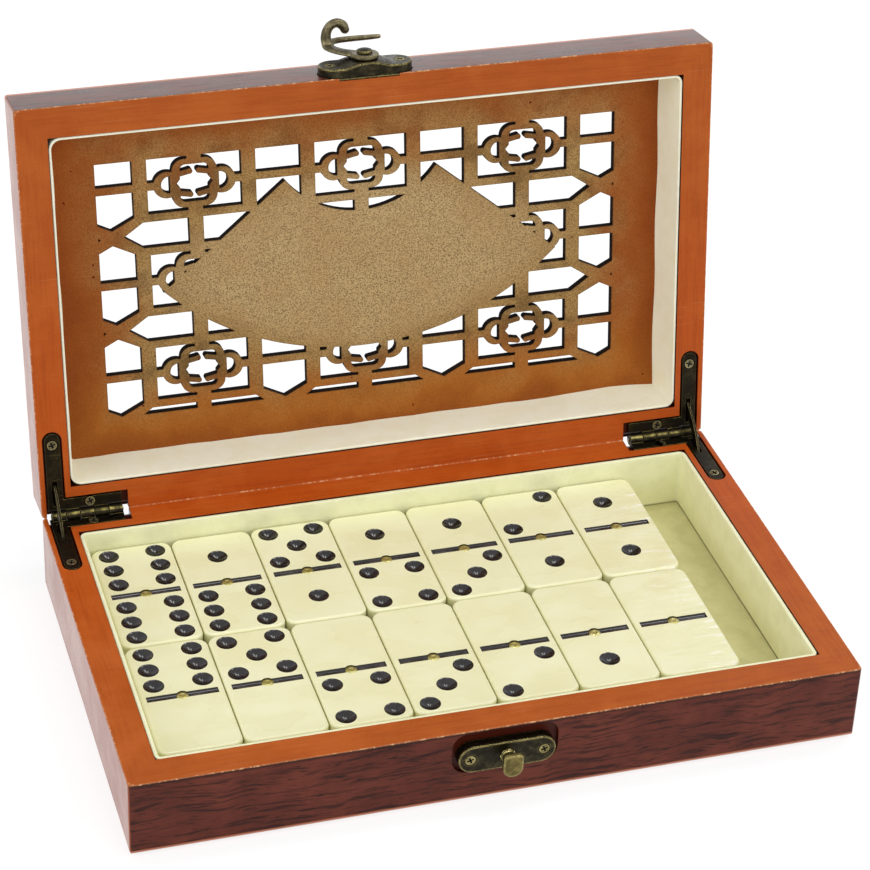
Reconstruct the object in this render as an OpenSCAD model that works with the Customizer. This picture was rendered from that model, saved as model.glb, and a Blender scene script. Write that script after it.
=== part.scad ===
/* [Box] */
// Height of the base
base_h = 24.5; // [22:0.5:34]
// Height of the lid frame
lid_h = 15.8; // [14.9:0.1:22]
// Thickness of the wall boards
wall_t = 9.2; // [8.6:0.1:12]
// Rounding of the upright outer corners
corner_r = 1; // [0.6:0.1:2.4]
// Rounding of the long outer edges under the base
base_edge_r = 2.3; // [1:0.1:3.5]
// Rounding of the long outer edges on top of the lid
lid_edge_r = 0.8; // [0.5:0.1:1.6]
// Thickness of the bottom panel
bottom_t = 5.5; // [4.5:0.1:7]
// Width of the step in the walls that holds a panel
rabbet_w = 4.4; // [3:0.1:5]
// Angle that the lid stands open, from closed
open_angle = 99; // [92:1:106]

/* [Lining] */
// Thickness of the card lining round the walls
liner_t = 1.4; // [0.8:0.1:2]
// Outer radius of the lining's folded corners
liner_r = 2.4; // [2:0.1:5]
// Thickness of the paper on the floor
paper_t = 0.3; // [0.2:0.05:0.6]
// How far the lining stays under the rim
liner_drop = 0.3; // [0.1:0.05:0.6]

/* [Tiles] */
// Width of a tile
tile_w = 24; // [22:0.1:25]
// Length of a tile
tile_l = 48.9; // [46:0.1:50]
// Thickness of a tile
tile_t = 6.2; // [5.5:0.1:6.6]
// Gap between neighbouring tiles
tile_gap = 0.26; // [0.1:0.02:0.4]
// Rounding of the tile's plan corners
tile_corner_r = 3.2; // [2:0.1:5]
// Rounding of the tile's long edges
tile_edge_r = 1; // [0.6:0.1:1.1]
// Gap between the left lining and the first column
tiles_left_gap = 1.4; // [0.5:0.1:2]
// Room for fingers between the last column and the right lining
tiles_right_gap = 17.84; // [14:0.02:24]
// Gap between the rear lining and the back row
tiles_rear_gap = 0.3; // [0.2:0.1:1]
// Room for fingers between the front row and the front lining
tiles_front_gap = 7.44; // [5:0.02:14]
// Width of a spot across the face
spot_d = 6; // [4.6:0.1:6.2]
// Depth of a spot
spot_depth = 0.7; // [0.4:0.05:1]
// Distance of the outer spots from the tile's long sides
spot_side = 5; // [4.4:0.1:6]
// Distance of the outer spots from the tile's ends
spot_end = 4.15; // [3.8:0.05:5]
// Distance of the inner spots from the groove's centre line
spot_middle = 5.7; // [4.5:0.1:6.5]
// Distance of the groove's ends from the tile's long sides
groove_side = 1.8; // [1.5:0.1:4]
// Width of the groove
groove_w = 2.4; // [1.6:0.1:2.8]
// Depth of the groove
groove_depth = 0.6; // [0.3:0.05:1]
// Diameter of the brass pin in the middle of a tile
spinner_d = 3.6; // [3:0.1:4.2]
// Depth that the brass pin is set into the tile
spinner_depth = 2.6; // [2:0.1:3.4]
// Height of the pin's domed end
spinner_dome = 0.4; // [0.2:0.05:0.5]
// How far the pin's dome stays under the tile's face
spinner_drop = 0.05; // [0.02:0.01:0.1]
// Radial clearance of the pin in the tile
spinner_clear = 0.03; // [0.01:0.01:0.05]

/* [Hinges] */
// Distance from the side of the box to the middle of a hinge arm
arm_inset = 4.5; // [4.2:0.1:5.2]
// Width of a hinge arm
arm_w = 4.6; // [4.2:0.1:5.4]
// Length of the long arm, from the hinge axis
arm_l = 27; // [22:0.1:34]
// Length of the short arm, from the middle of the long arm
short_l = 19.8; // [17:0.1:24]
// Metal left in front of the short arm's screw
short_rim = 0.15; // [0.1:0.05:0.5]
// Thickness of a hinge leaf
leaf_t = 1.2; // [1:0.05:1.4]
// How far a leaf lies under the rim
leaf_drop = 0.3; // [0.2:0.05:0.6]
// Room round a leaf in its pocket
leaf_room = 0.6; // [0.4:0.1:0.9]
// Room past the end of the short arm
leaf_end_room = 1.8; // [0.8:0.1:2.5]
// Diameter of the hinge barrel
barrel_d = 3.8; // [3.4:0.1:4.2]
// Number of knuckles in the barrel
knuckles = 5; // [3:2:7]
// Gap between two knuckles
knuckle_gap = 0.16; // [0.1:0.02:0.3]
// Diameter of the hinge pin
pin_d = 1.5; // [1.2:0.1:1.8]
// Radial clearance of the pin
pin_clear = 0.05; // [0.03:0.01:0.08]
// Distance of the long arm's screw from the arm's end
arm_screw_end = 3.8; // [2.6:0.1:6]
// Distance of the short arm's screw from the middle of the long arm
short_screw_x = 10.3; // [8:0.1:14]
// Gap between the short arm's screw head and the barrel
screw_barrel_gap = 0.25; // [0.15:0.05:0.5]

/* [Stays] */
// Thickness of a stay
stay_t = 0.8; // [0.6:0.05:1]
// Distance from the hinge axis to the outer edge of a stay, at its middle
stay_reach = 7.2; // [6.6:0.1:7.6]
// Radius of the stay's outer edge
stay_r = 25.6; // [22:0.1:30]
// Width of the stay's strip
stay_w = 3; // [2.4:0.1:3.2]
// Half the length of a stay, tip to tip
stay_half = 8.8; // [8.4:0.1:9]
// Room on each side of a stay in its slot
stay_room = 0.35; // [0.3:0.05:0.5]

/* [Screws] */
// Diameter of a screw head
screw_head_d = 3; // [2.7:0.1:3.6]
// Diameter of a screw thread
screw_d = 2; // [1.6:0.1:2.2]
// Length of a screw
screw_l = 7; // [5.5:0.1:8]
// Clearance round a screw
screw_clear = 0.05; // [0.03:0.01:0.1]
// Width of one slot of the cross in a screw head
cross_w = 0.5; // [0.4:0.05:0.7]
// Length of one slot of the cross in a screw head
cross_l = 2; // [1.6:0.1:2.4]
// Depth of the cross in a screw head
cross_depth = 0.7; // [0.4:0.05:0.9]

/* [Catch and hook] */
// Distance of the catch from the middle of the box
catch_x = -0.3; // [-2:0.1:2]
// Distance of the hook plate from the middle of the lid
hook_x = -1.4; // [-3:0.1:2]
// Distance from the base's rim down to the middle of the catch plate
catch_down = 8.4; // [8.2:0.1:9.4]
// Height of the middle of the hook plate, from the lid's rim
hook_z = 5.2; // [5:0.1:6]
// Length of a latch plate
plate_l = 28; // [25:0.1:32]
// Height of the catch plate
catch_plate_w = 8.8; // [8:0.1:9.4]
// Height of the hook plate
hook_plate_w = 10; // [9:0.1:10]
// Thickness of a latch plate
plate_t = 3.4; // [3:0.1:3.8]
// Depth of the catch plate's pocket
catch_pocket = 1.4; // [1:0.1:2]
// Depth of the hook plate's pocket
hook_pocket = 0.8; // [0.5:0.1:1.2]
// Room round the catch plate in its pocket
catch_room = 1.2; // [0.6:0.1:1.4]
// How much further the catch pocket reaches towards the rim
catch_room_up = 2; // [0:0.1:2.2]
// Distance of a latch plate's screw from its middle
plate_screw_x = 10.6; // [9:0.1:11.4]
// Height of the swell in the middle of the hook plate
swell_h = 1.3; // [0.8:0.1:1.6]
// Radius of the flat on top of the swell
swell_r = 4.6; // [4:0.1:5]
// Radius of the foot of the swell
swell_foot_r = 8.4; // [7:0.1:8.6]
// Thickness of the hook
hook_t = 1.5; // [1.2:0.1:1.8]
// Radius of the hook's eye
eye_r = 4.3; // [3.6:0.1:4.6]
// Diameter of the rivet that the hook turns on
rivet_d = 3; // [2.6:0.1:3.4]
// Diameter of the rivet's head
rivet_head_d = 4.7; // [4.2:0.1:5.4]
// Thickness of the rivet's head
rivet_head_t = 1.2; // [0.8:0.1:1.6]
// Radial clearance of the rivet in the hook
rivet_clear = 0.07; // [0.04:0.01:0.1]
// Gap on each face of the hook
hook_gap = 0.12; // [0.08:0.01:0.2]
// Diameter of the catch stud's neck
neck_d = 3.4; // [3:0.1:3.8]
// Width of the catch stud's head
stud_w = 5.8; // [5:0.1:6.4]
// Height of the catch stud's head
stud_h = 7.2; // [6.4:0.1:7.6]
// Thickness of the catch stud's head
stud_head_t = 1.5; // [1.2:0.1:2]
// Room between the stud's neck and the prong of the hook
prong_room = 0.5; // [0.3:0.05:0.8]
// Radius of the prong at its root
prong_r = 0.95; // [0.85:0.05:1.1]
// Radius of the prong at its tip
prong_tip_r = 0.7; // [0.6:0.05:0.8]
// Gap between the prong and the stud's head
head_gap = 0.3; // [0.2:0.05:0.5]
// Reach of the prong past the rivet
prong_l = 9.4; // [7:0.1:10]
// Width of the hook's arm
hook_arm_w = 3.2; // [2.6:0.1:3.6]
// Reach of the arm's bend to the side of the rivet
hook_side = 9.6; // [8.8:0.1:10.4]
// Outer radius of the arm's bend
bend_r = 6.6; // [6:0.1:7]
// Radius of the curl of the thumb horn
horn_r = 3.2; // [2.6:0.1:3.6]
// Thickness of the thumb horn
horn_d = 3; // [2.4:0.1:3.2]

/* [Fretwork] */
// Thickness of the fretwork panel
fret_t = 2.6; // [2:0.1:3]
// Distance of the pattern from the middle of the lid, along the width
fret_x = -1; // [-3:0.1:3]
// Distance of the pattern's middle row from the middle of the lid, along the depth
fret_y = -2.5; // [-5:0.1:0]
// Opening of one motif cell, along the width
cell_w = 28.2; // [26:0.1:29]
// Opening of one motif cell, along the depth
cell_h = 16.8; // [16.4:0.1:17.6]
// Opening between two motif cells, along the width
gap_w = 13.6; // [12:0.1:15]
// Opening between two motif cells, along the depth
link_h = 8; // [7:0.1:8.4]
// Width of the upright bars
bar_w = 4.35; // [3.8:0.05:4.8]
// Width of the cross bars
thin_bar = 2.4; // [2:0.05:2.8]
// Half the width of the pierced field
field_half_w = 79.9; // [78:0.1:82]
// Width of the slivers along the back of the pierced field
sliver_h = 1.9; // [1.5:0.1:2.4]
// Clearance round a panel in its step
panel_room = 0.1; // [0.05:0.05:0.3]
// Half the width of the plaque
plaque_half_w = 61.4; // [58:0.1:63]
// Distance of a plaque peak from the middle
peak_x = 23.5; // [22:0.1:25]
// Reach of a plaque peak from the middle row
peak_y = 27.1; // [25:0.1:28]
// Width of the flat on each peak and under each side tip
peak_flat = 0.3; // [0.2:0.1:0.6]
// Reach of the hollow between the plaque's peaks
hollow_y = 15.4; // [14:0.1:17]
// Reach of the plaque's belly to the back
belly_y = 28.4; // [27:0.1:29]
// Distance of the plaque's side tips behind the middle row
tip_y = 3.8; // [2:0.1:6]

/* [Hidden] */
$fn = 48;
// Over-cut that keeps two cut faces apart
EPS = 0.1;
// Upper tiles from left to right, as [half towards the back, half towards the front]
BACK_ROW = [[6, 6], [1, 6], [5, 1], [1, 4], [1, 3], [2, 1], [1, 1]];
FRONT_ROW = [[6, 0], [5, 0], [0, 4], [0, 3], [0, 2], [0, 1], [0, 0]];
// Lower tiles in the same places
BACK_ROW_LOW = [[2, 2], [2, 3], [2, 4], [2, 5], [2, 6], [3, 3], [3, 4]];
FRONT_ROW_LOW = [[3, 5], [3, 6], [4, 4], [4, 5], [4, 6], [5, 5], [5, 6]];
// Each tile is [[half, half], column, row, layer], with row 0 at the back and layer 0 on the floor
TILES = [for (r = [[BACK_ROW, 0, 1], [FRONT_ROW, 1, 1], [BACK_ROW_LOW, 0, 0], [FRONT_ROW_LOW, 1, 0]])
    for (c = [0 : len(r[0]) - 1]) [r[0][c], c, r[1], r[2]]];
function tile_name(t) = str("tile_", max(t[0]), "_", min(t[0]));

FRONT = 0;
RIGHT = 1;
BACK = 2;
LEFT = 3;

// Box, sized by what it holds
COLUMNS = len(BACK_ROW);
tray_w = tiles_left_gap + COLUMNS * tile_w + (COLUMNS - 1) * tile_gap + tiles_right_gap;
tray_d = tiles_rear_gap + 2 * tile_l + tile_gap + tiles_front_gap;
inner_w = tray_w + 2 * liner_t;
inner_d = tray_d + 2 * liner_t;
box_w = inner_w + 2 * wall_t;
box_d = inner_d + 2 * wall_t;
rim_z = base_h;
axis_y = box_d / 2;
liner_in_r = liner_r - liner_t;
floor_z = bottom_t + paper_t;
lid_top = rim_z + lid_h;
fret_z = lid_top - fret_t;

// Tiles
tile_x0 = -tray_w / 2 + tiles_left_gap + tile_w / 2;
tile_y0 = tray_d / 2 - tiles_rear_gap - tile_l / 2;
col_pitch = tile_w + tile_gap;
tile_row_pitch = tile_l + tile_gap;
spot_x = tile_w / 2 - spot_side;
spot_pitch = (tile_l / 2 - spot_end - spot_middle) / 2;
half_y = spot_middle + spot_pitch;
groove_l = tile_w - 2 * groove_side;
spot_r = (pow(spot_d / 2, 2) + pow(spot_depth, 2)) / (2 * spot_depth);
dome_r = (pow(spinner_d / 2, 2) + pow(spinner_dome, 2)) / (2 * spinner_dome);

// Hinges
arm_x = box_w / 2 - arm_inset;
pocket_depth = leaf_drop + leaf_t;
barrel_r = barrel_d / 2;
leaf_cut_r = barrel_r + 0.35;
trough_r = leaf_cut_r + EPS;
arm_screw_y = arm_l - arm_screw_end;
short_screw_y = barrel_r + screw_barrel_gap + screw_head_d / 2;
short_w = short_screw_y + screw_head_d / 2 + short_rim;
barrel_x = arm_x - short_l;
barrel_l = short_l + arm_w / 2 - 0.7;
knuckle_l = barrel_l / knuckles;

// Stays
stay_c = stay_r - stay_reach;
stay_out = sqrt(pow(stay_r, 2) - pow(stay_half, 2)) - stay_c;
stay_in = sqrt(pow(stay_r - stay_w, 2) - pow(stay_half, 2)) - stay_c;
slot_far = sqrt(pow(stay_out, 2) + pow(stay_half, 2)) + 0.8;
slot_near = stay_reach - stay_w - 0.9;
slot_deep_near = stay_in - 0.8;
slot_w = stay_t + 2 * stay_room;
slot_depth = stay_half + 0.6;

// Latch
catch_z = rim_z - catch_down;
catch_face = plate_t - catch_pocket;
plate_face = plate_t - hook_pocket;
hook_low = plate_face + swell_h + hook_gap;
hook_mid = hook_low + hook_t / 2;
hook_top = hook_low + hook_t;
drop = hook_z + catch_down;
prong_y = drop + neck_d / 2 + prong_room + prong_r;
head_low = hook_mid + prong_r + head_gap;
bend_x = bend_r - hook_side;
bend_y = prong_y + prong_r + 0.1 - bend_r;

// Fretwork, from the middle of its middle row
cell_pitch = cell_w + gap_w + 2 * bar_w;
row_pitch = cell_h + link_h + 2 * thin_bar;
field_front = row_pitch + cell_h / 2;
field_back = row_pitch + cell_h / 2 + thin_bar + sliver_h;
point_y = row_pitch / 2 - 2.3;
arrow_tip = cell_pitch / 2 - 3.45;
hollow_x = peak_x - peak_flat;
hollow_r = (pow(hollow_x, 2) + pow(peak_y - hollow_y, 2)) / (2 * (peak_y - hollow_y));
belly_x = plaque_half_w - peak_flat;
belly_r = (pow(belly_x, 2) + pow(belly_y - tip_y, 2)) / (2 * (belly_y - tip_y));

// ---- shapes used by several pieces ----

// A rectangle with round corners, centred
module rounded(w, h, r) {
    square([w - 2 * r, h], center = true);
    square([w, h - 2 * r], center = true);
    for (x = [-1, 1], y = [-1, 1]) translate([x * (w / 2 - r), y * (h / 2 - r)]) circle(r);
}

// A rectangle that stands on y = 0 with its two upper corners round
module arched(w, h, r) {
    translate([-w / 2, 0]) square([w, h - r]);
    translate([-w / 2 + r, 0]) square([w - 2 * r, h]);
    for (x = [-1, 1]) translate([x * (w / 2 - r), h - r]) circle(r);
}

// A strip along X with round ends, centred
module stadium(l, w) {
    for (s = [-1, 1]) translate([s * (l - w) / 2, 0]) circle(w / 2);
    square([l - w, w], center = true);
}

// A block on z = 0 with round upright corners and round upper long edges
module soft_block(w, d, h, plan_r, edge_r) {
    intersection() {
        linear_extrude(h) rounded(w, d, plan_r);
        rotate([90, 0, 90]) linear_extrude(w + 2, center = true) arched(d, h, edge_r);
        rotate([90, 0, 0]) linear_extrude(d + 2, center = true) arched(w, h, edge_r);
    }
}

// Turns what is drawn for the closed box to where the open lid carries it
module on_lid() {
    translate([0, axis_y, rim_z]) rotate([-open_angle, 0, 0]) translate([0, -axis_y, -rim_z]) children();
}

// Mirrors what is drawn for the base, under the rim, to the lid above it
module over_rim() {
    translate([0, 0, 2 * rim_z]) mirror([0, 0, 1]) children();
}

// Draws on the right side, or mirrored on the left
module on_side(side) {
    mirror([side == LEFT ? 1 : 0, 0, 0]) children();
}

// Puts local X, Y, Z on the front face as right, up and outwards, round the point x, z
module on_front(x, z) {
    translate([x, -box_d / 2, z]) rotate([90, 0, 0]) children();
}

// A countersunk screw with its head's face at z = 0, pointing down, grown by room
module screw_body(room) {
    head = screw_head_d / 2 + room;
    thread = screw_d / 2 + room;
    cone = (screw_head_d - screw_d) / 2;
    translate([0, 0, -cone]) cylinder(h = cone, r1 = thread, r2 = head);
    translate([0, 0, -screw_l + screw_d - room]) cylinder(h = screw_l - screw_d - cone + room, r = thread);
    translate([0, 0, -screw_l - room]) cylinder(h = screw_d, r1 = 0.15 * screw_d, r2 = thread);
}

module screw() {
    difference() {
        screw_body(0);
        for (turn = [20, 110]) rotate(turn)
            translate([-cross_l / 2, -cross_w / 2, -cross_depth]) cube([cross_l, cross_w, cross_depth + 1]);
    }
}

// The hole that a screw fills, open above its head
module screw_hole() {
    screw_body(screw_clear);
    cylinder(h = 2, r = screw_head_d / 2 + screw_clear);
}

// ---- boards ----

// The mitred quarter of the plan that one wall takes
module wall_plan(side) {
    w = box_w / 2;
    d = box_d / 2;
    long = [[-w - 1, -d - 1], [w + 1, -d - 1], [w - wall_t - 1, -d + wall_t + 1], [-w + wall_t + 1, -d + wall_t + 1]];
    short = [[w + 1, -d - 1], [w + 1, d + 1], [w - wall_t - 1, d - wall_t - 1], [w - wall_t - 1, -d + wall_t + 1]];
    if (side == FRONT) polygon(long);
    if (side == BACK) mirror([0, 1]) polygon(long);
    if (side == RIGHT) polygon(short);
    if (side == LEFT) mirror([1, 0]) polygon(short);
}

// The hollow that the walls of a frame of height h stand round, with the step for its panel on top
module frame_hollow(h, panel_t) {
    translate([-inner_w / 2, -inner_d / 2, -1]) cube([inner_w, inner_d, h + 2]);
    translate([-inner_w / 2 - rabbet_w, -inner_d / 2 - rabbet_w, h - panel_t])
        cube([inner_w + 2 * rabbet_w, inner_d + 2 * rabbet_w, panel_t + 1]);
}

// A panel that fills the step of a frame
module panel_plan() {
    square([inner_w + 2 * (rabbet_w - panel_room), inner_d + 2 * (rabbet_w - panel_room)], center = true);
}

// Outline of the pocket for a hinge leaf
module leaf_pocket_plan() {
    r = arm_w / 2 + leaf_room;
    translate([arm_x - r, axis_y - arm_l + arm_w / 2]) square([2 * r, arm_l]);
    translate([arm_x, axis_y - arm_l + arm_w / 2]) circle(r);
    translate([barrel_x - leaf_end_room, axis_y - short_w - leaf_room])
        square([short_l + leaf_end_room, short_w + leaf_room + 1]);
}

// What a hinge takes out of the base's boards
module hinge_cut() {
    translate([0, 0, rim_z - pocket_depth]) linear_extrude(pocket_depth + 1) leaf_pocket_plan();
    translate([barrel_x - leaf_end_room, axis_y, rim_z]) rotate([0, 90, 0])
        cylinder(h = short_l + leaf_end_room + arm_w / 2 + leaf_room, r = trough_r);
    translate([arm_x - slot_w / 2, axis_y - slot_far, rim_z - slot_depth])
        cube([slot_w, slot_far - slot_deep_near, slot_depth + 1]);
    hinge_screw_places() screw_hole();
}

module hinge_screw_places() {
    translate([arm_x, axis_y - arm_screw_y, rim_z - leaf_drop]) children();
    translate([arm_x - short_screw_x, axis_y - short_screw_y, rim_z - leaf_drop]) children();
}

module plate_screw_places() {
    for (x = [-1, 1]) translate([x * plate_screw_x, 0]) children();
}

module base_wall(side) {
    color(side == FRONT ? "sienna" : "saddlebrown") difference() {
        intersection() {
            translate([0, 0, rim_z]) mirror([0, 0, 1]) soft_block(box_w, box_d, base_h, corner_r, base_edge_r);
            linear_extrude(base_h) wall_plan(side);
        }
        translate([0, 0, rim_z]) mirror([0, 0, 1]) frame_hollow(base_h, bottom_t);
        if (side != LEFT && side != FRONT) hinge_cut();
        if (side != RIGHT && side != FRONT) on_side(LEFT) hinge_cut();
        if (side == FRONT) on_front(catch_x, catch_z) catch_cut();
    }
}

module lid_wall(side) {
    color(side == FRONT ? "sienna" : "saddlebrown") on_lid() difference() {
        intersection() {
            translate([0, 0, rim_z]) soft_block(box_w, box_d, lid_h, corner_r, lid_edge_r);
            translate([0, 0, rim_z]) linear_extrude(lid_h) wall_plan(side);
        }
        translate([0, 0, rim_z]) frame_hollow(lid_h, fret_t);
        if (side != LEFT && side != FRONT) over_rim() hinge_cut();
        if (side != RIGHT && side != FRONT) on_side(LEFT) over_rim() hinge_cut();
        if (side == FRONT) on_front(hook_x, rim_z + hook_z) hook_cut();
    }
}

module base_bottom_panel() {
    color("peru") linear_extrude(bottom_t) panel_plan();
}

module base_floor_paper() {
    color("ivory") translate([0, 0, bottom_t]) linear_extrude(paper_t) rounded(tray_w, tray_d, liner_in_r);
}

module lining(h) {
    color("ivory") linear_extrude(h) difference() {
        rounded(inner_w, inner_d, liner_r);
        rounded(tray_w, tray_d, liner_in_r);
    }
}

module base_lining() {
    translate([0, 0, bottom_t]) lining(base_h - bottom_t - liner_drop);
}

module lid_lining() {
    on_lid() translate([0, 0, rim_z + liner_drop]) lining(lid_h - fret_t - liner_drop);
}

// ---- fretwork ----

// A curl that runs from the rim of a flower to a round end near its middle
module curl() {
    foot = [4.9, 2.9];
    tip = [1.35, 3.6];
    r = 0.85;
    translate(tip) {
        circle(r);
        rotate(atan2(foot[1] - tip[1], foot[0] - tip[0])) translate([0, -0.95 * r]) square([norm(foot - tip), 1.9 * r]);
    }
}

// The flower of four lobes in one cell, with the bars that hold it
module motif() {
    side_r = 4.1;
    side_x = cell_w / 2 - 5.85;
    lobe_r = 3.6;
    lobe_x = 3.15;
    lobe_y = cell_h / 2 - 0.9 - lobe_r;
    heart_w = 8.6;
    heart_h = 2 * (lobe_y + lobe_r) - 3.5;
    eye = 2.6;
    difference() {
        union() {
            square([bar_w, cell_h + EPS], center = true);
            square([cell_w + EPS, thin_bar], center = true);
            for (s = [-1, 1]) translate([s * side_x, 0]) circle(side_r);
            for (s = [-1, 1]) translate([0, s * lobe_y]) stadium(2 * (lobe_x + lobe_r), 2 * lobe_r);
            square([2 * side_x, 2 * lobe_y], center = true);
        }
        for (s = [0, 1]) mirror([s, 0]) intersection() {
            translate([side_x - 0.85, 0]) circle(eye);
            translate([side_x - 0.9, -eye]) square(2 * eye);
        }
        difference() {
            union() {
                rounded(heart_w, heart_h, 1.6);
                polygon([[-5.4, 0], [-3.6, -2.2], [3.6, -2.2], [5.4, 0], [3.6, 2.2], [-3.6, 2.2]]);
            }
            for (x = [0, 1], y = [0, 1]) mirror([x, 0]) mirror([0, y]) curl();
        }
    }
}

// The half of a link opening to the right of its bar, with a pointed end
module arrow() {
    h = link_h / 2;
    shoulder = arrow_tip - h / 0.68;
    polygon([[bar_w / 2, -h], [shoulder, -h], [arrow_tip, 0], [shoulder, h], [bar_w / 2, h]]);
}

// The hexagon between two cells, cut in two by a bar
module hexagon_pair() {
    w = gap_w / 2;
    shoulder = point_y - w / 2;
    difference() {
        polygon([[-w, -shoulder], [0, -point_y], [w, -shoulder], [w, shoulder], [0, point_y], [-w, shoulder]]);
        square([gap_w + EPS, thin_bar], center = true);
    }
}

// The blank plaque: two peaks with a hollow between them, side tips and a round belly
module plaque() {
    difference() {
        union() {
            polygon([[-plaque_half_w, tip_y], [-peak_x, -peak_y], [peak_x, -peak_y], [plaque_half_w, tip_y]]);
            intersection() {
                translate([0, belly_y - belly_r]) circle(belly_r, $fn = 240);
                translate([-plaque_half_w, tip_y - EPS]) square([2 * plaque_half_w, belly_y]);
            }
        }
        translate([0, -hollow_y - hollow_r]) circle(hollow_r, $fn = 120);
    }
}

module field_openings() {
    difference() {
        intersection() {
            translate([-field_half_w, -field_front]) square([2 * field_half_w, field_front + field_back]);
            union() {
                for (i = [-1 : 1], j = [-1 : 1]) translate([i * cell_pitch, j * row_pitch]) difference() {
                    square([cell_w, cell_h], center = true);
                    motif();
                }
                for (i = [-2 : 2], j = [-1.5 : 1.5], s = [0, 1])
                    translate([i * cell_pitch, j * row_pitch]) mirror([s, 0]) arrow();
                for (i = [-1.5 : 1.5], j = [-1 : 1])
                    translate([i * cell_pitch, j * row_pitch]) hexagon_pair();
            }
        }
        plaque();
    }
}

module lid_fret_panel() {
    color("peru") on_lid() translate([0, 0, fret_z]) linear_extrude(fret_t) difference() {
        panel_plan();
        translate([fret_x, fret_y]) field_openings();
    }
}

// ---- hinges ----

module leaf_plan() {
    translate([arm_x - arm_w / 2, axis_y - arm_l + arm_w / 2]) square([arm_w, arm_l - arm_w / 2]);
    translate([arm_x, axis_y - arm_l + arm_w / 2]) circle(d = arm_w);
    translate([barrel_x, axis_y - short_w]) square([short_l, short_w]);
}

// A length of round bar on the hinge axis
module on_axis(x, l, r) {
    translate([x, axis_y, rim_z]) rotate([0, 90, 0]) cylinder(h = l, r = r);
}

// A base leaf whose knuckles are the first, third and so on, or the ones between
module leaf(first) {
    last = knuckles - 1;
    color("darkolivegreen") difference() {
        union() {
            difference() {
                translate([0, 0, rim_z - pocket_depth]) linear_extrude(leaf_t) leaf_plan();
                for (i = [1 - first : 2 : last]) {
                    low = i == 0 ? -1 : i * knuckle_l - knuckle_gap / 2;
                    high = i == last ? barrel_l + 2 : (i + 1) * knuckle_l + knuckle_gap / 2;
                    on_axis(barrel_x + low, high - low, leaf_cut_r);
                }
            }
            for (i = [first : 2 : last])
                on_axis(barrel_x + i * knuckle_l + knuckle_gap / 2, knuckle_l - knuckle_gap, barrel_r);
        }
        on_axis(barrel_x - 1, barrel_l + 2, pin_d / 2 + pin_clear);
        translate([arm_x - slot_w / 2, axis_y - slot_far, rim_z - pocket_depth - 1])
            cube([slot_w, slot_far - slot_near, pocket_depth + 2]);
        hinge_screw_places() screw_hole();
    }
}

module base_leaf(side) {
    on_side(side) leaf(0);
}

module lid_leaf(side) {
    on_lid() on_side(side) over_rim() leaf(1);
}

module hinge_pin(side) {
    color("darkgoldenrod") on_side(side) on_axis(barrel_x - 0.2, barrel_l + 0.4, pin_d / 2);
}

// A bowed strip across both leaves, in the plane of the long arms, half way between lid and base
module stay(side) {
    color("darkolivegreen") on_side(side)
        translate([arm_x - stay_t / 2, axis_y, rim_z]) rotate([-open_angle / 2, 0, 0])
            rotate([90, 0, 90]) linear_extrude(stay_t) difference() {
                intersection() {
                    translate([stay_c, 0]) circle(stay_r, $fn = 120);
                    translate([-2 * stay_reach, -stay_half]) square([2 * stay_reach, 2 * stay_half]);
                }
                translate([stay_c, 0]) circle(stay_r - stay_w, $fn = 120);
            }
}

module base_hinge_screws() {
    color("goldenrod") for (side = [LEFT, RIGHT]) on_side(side) hinge_screw_places() screw();
}

module lid_hinge_screws() {
    color("goldenrod") on_lid() for (side = [LEFT, RIGHT]) on_side(side) over_rim() hinge_screw_places() screw();
}

// ---- catch, drawn on the front face with Z outwards ----

module catch_cut() {
    translate([0, catch_room_up / 2, -catch_pocket]) linear_extrude(catch_pocket + 1)
        rounded(plate_l + 2 * catch_room, catch_plate_w + 2 * catch_room + catch_room_up, catch_plate_w / 2);
    translate([0, 0, catch_face]) plate_screw_places() screw_hole();
}

module catch_plate() {
    color("darkkhaki") on_front(catch_x, catch_z) difference() {
        translate([0, 0, -catch_pocket]) linear_extrude(plate_t) stadium(plate_l, catch_plate_w);
        translate([0, 0, catch_face]) plate_screw_places() screw_hole();
        translate([0, 0, -catch_pocket - 1]) cylinder(h = plate_t + 2, r = neck_d / 2 - 0.4);
    }
}

// The head's outline: round below, square above
module stud_head_plan() {
    r = stud_w / 2;
    translate([0, r - stud_h / 2]) circle(r);
    translate([-r, r - stud_h / 2]) square([stud_w, stud_h - r - 1]);
    translate([1 - r, 0]) square([stud_w - 2, stud_h / 2]);
    for (s = [-1, 1]) translate([s * (r - 1), stud_h / 2 - 1]) circle(1);
}

module catch_stud() {
    color("darkkhaki") on_front(catch_x, catch_z) {
        translate([0, 0, -catch_pocket]) cylinder(h = plate_t + EPS, r = neck_d / 2 - 0.4 - screw_clear);
        translate([0, 0, catch_face]) cylinder(h = 0.7, r1 = neck_d / 2 + 0.7, r2 = neck_d / 2);
        translate([0, 0, catch_face]) cylinder(h = head_low - catch_face + EPS, r = neck_d / 2);
        translate([0, 0, head_low]) linear_extrude(stud_head_t) stud_head_plan();
    }
}

module catch_screws() {
    color("goldenrod") on_front(catch_x, catch_z) translate([0, 0, catch_face]) plate_screw_places() screw();
}

// ---- hook, drawn on the lid's front face with Z outwards ----

module hook_cut() {
    translate([0, 0, -hook_pocket]) linear_extrude(hook_pocket + 1) {
        stadium(plate_l + 2 * screw_clear, hook_plate_w + 2 * screw_clear);
        translate([(hook_plate_w - plate_l) / 2, -hook_z - 1]) square([plate_l - hook_plate_w, hook_z + 1]);
    }
    translate([0, 0, plate_face]) plate_screw_places() screw_hole();
}

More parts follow.
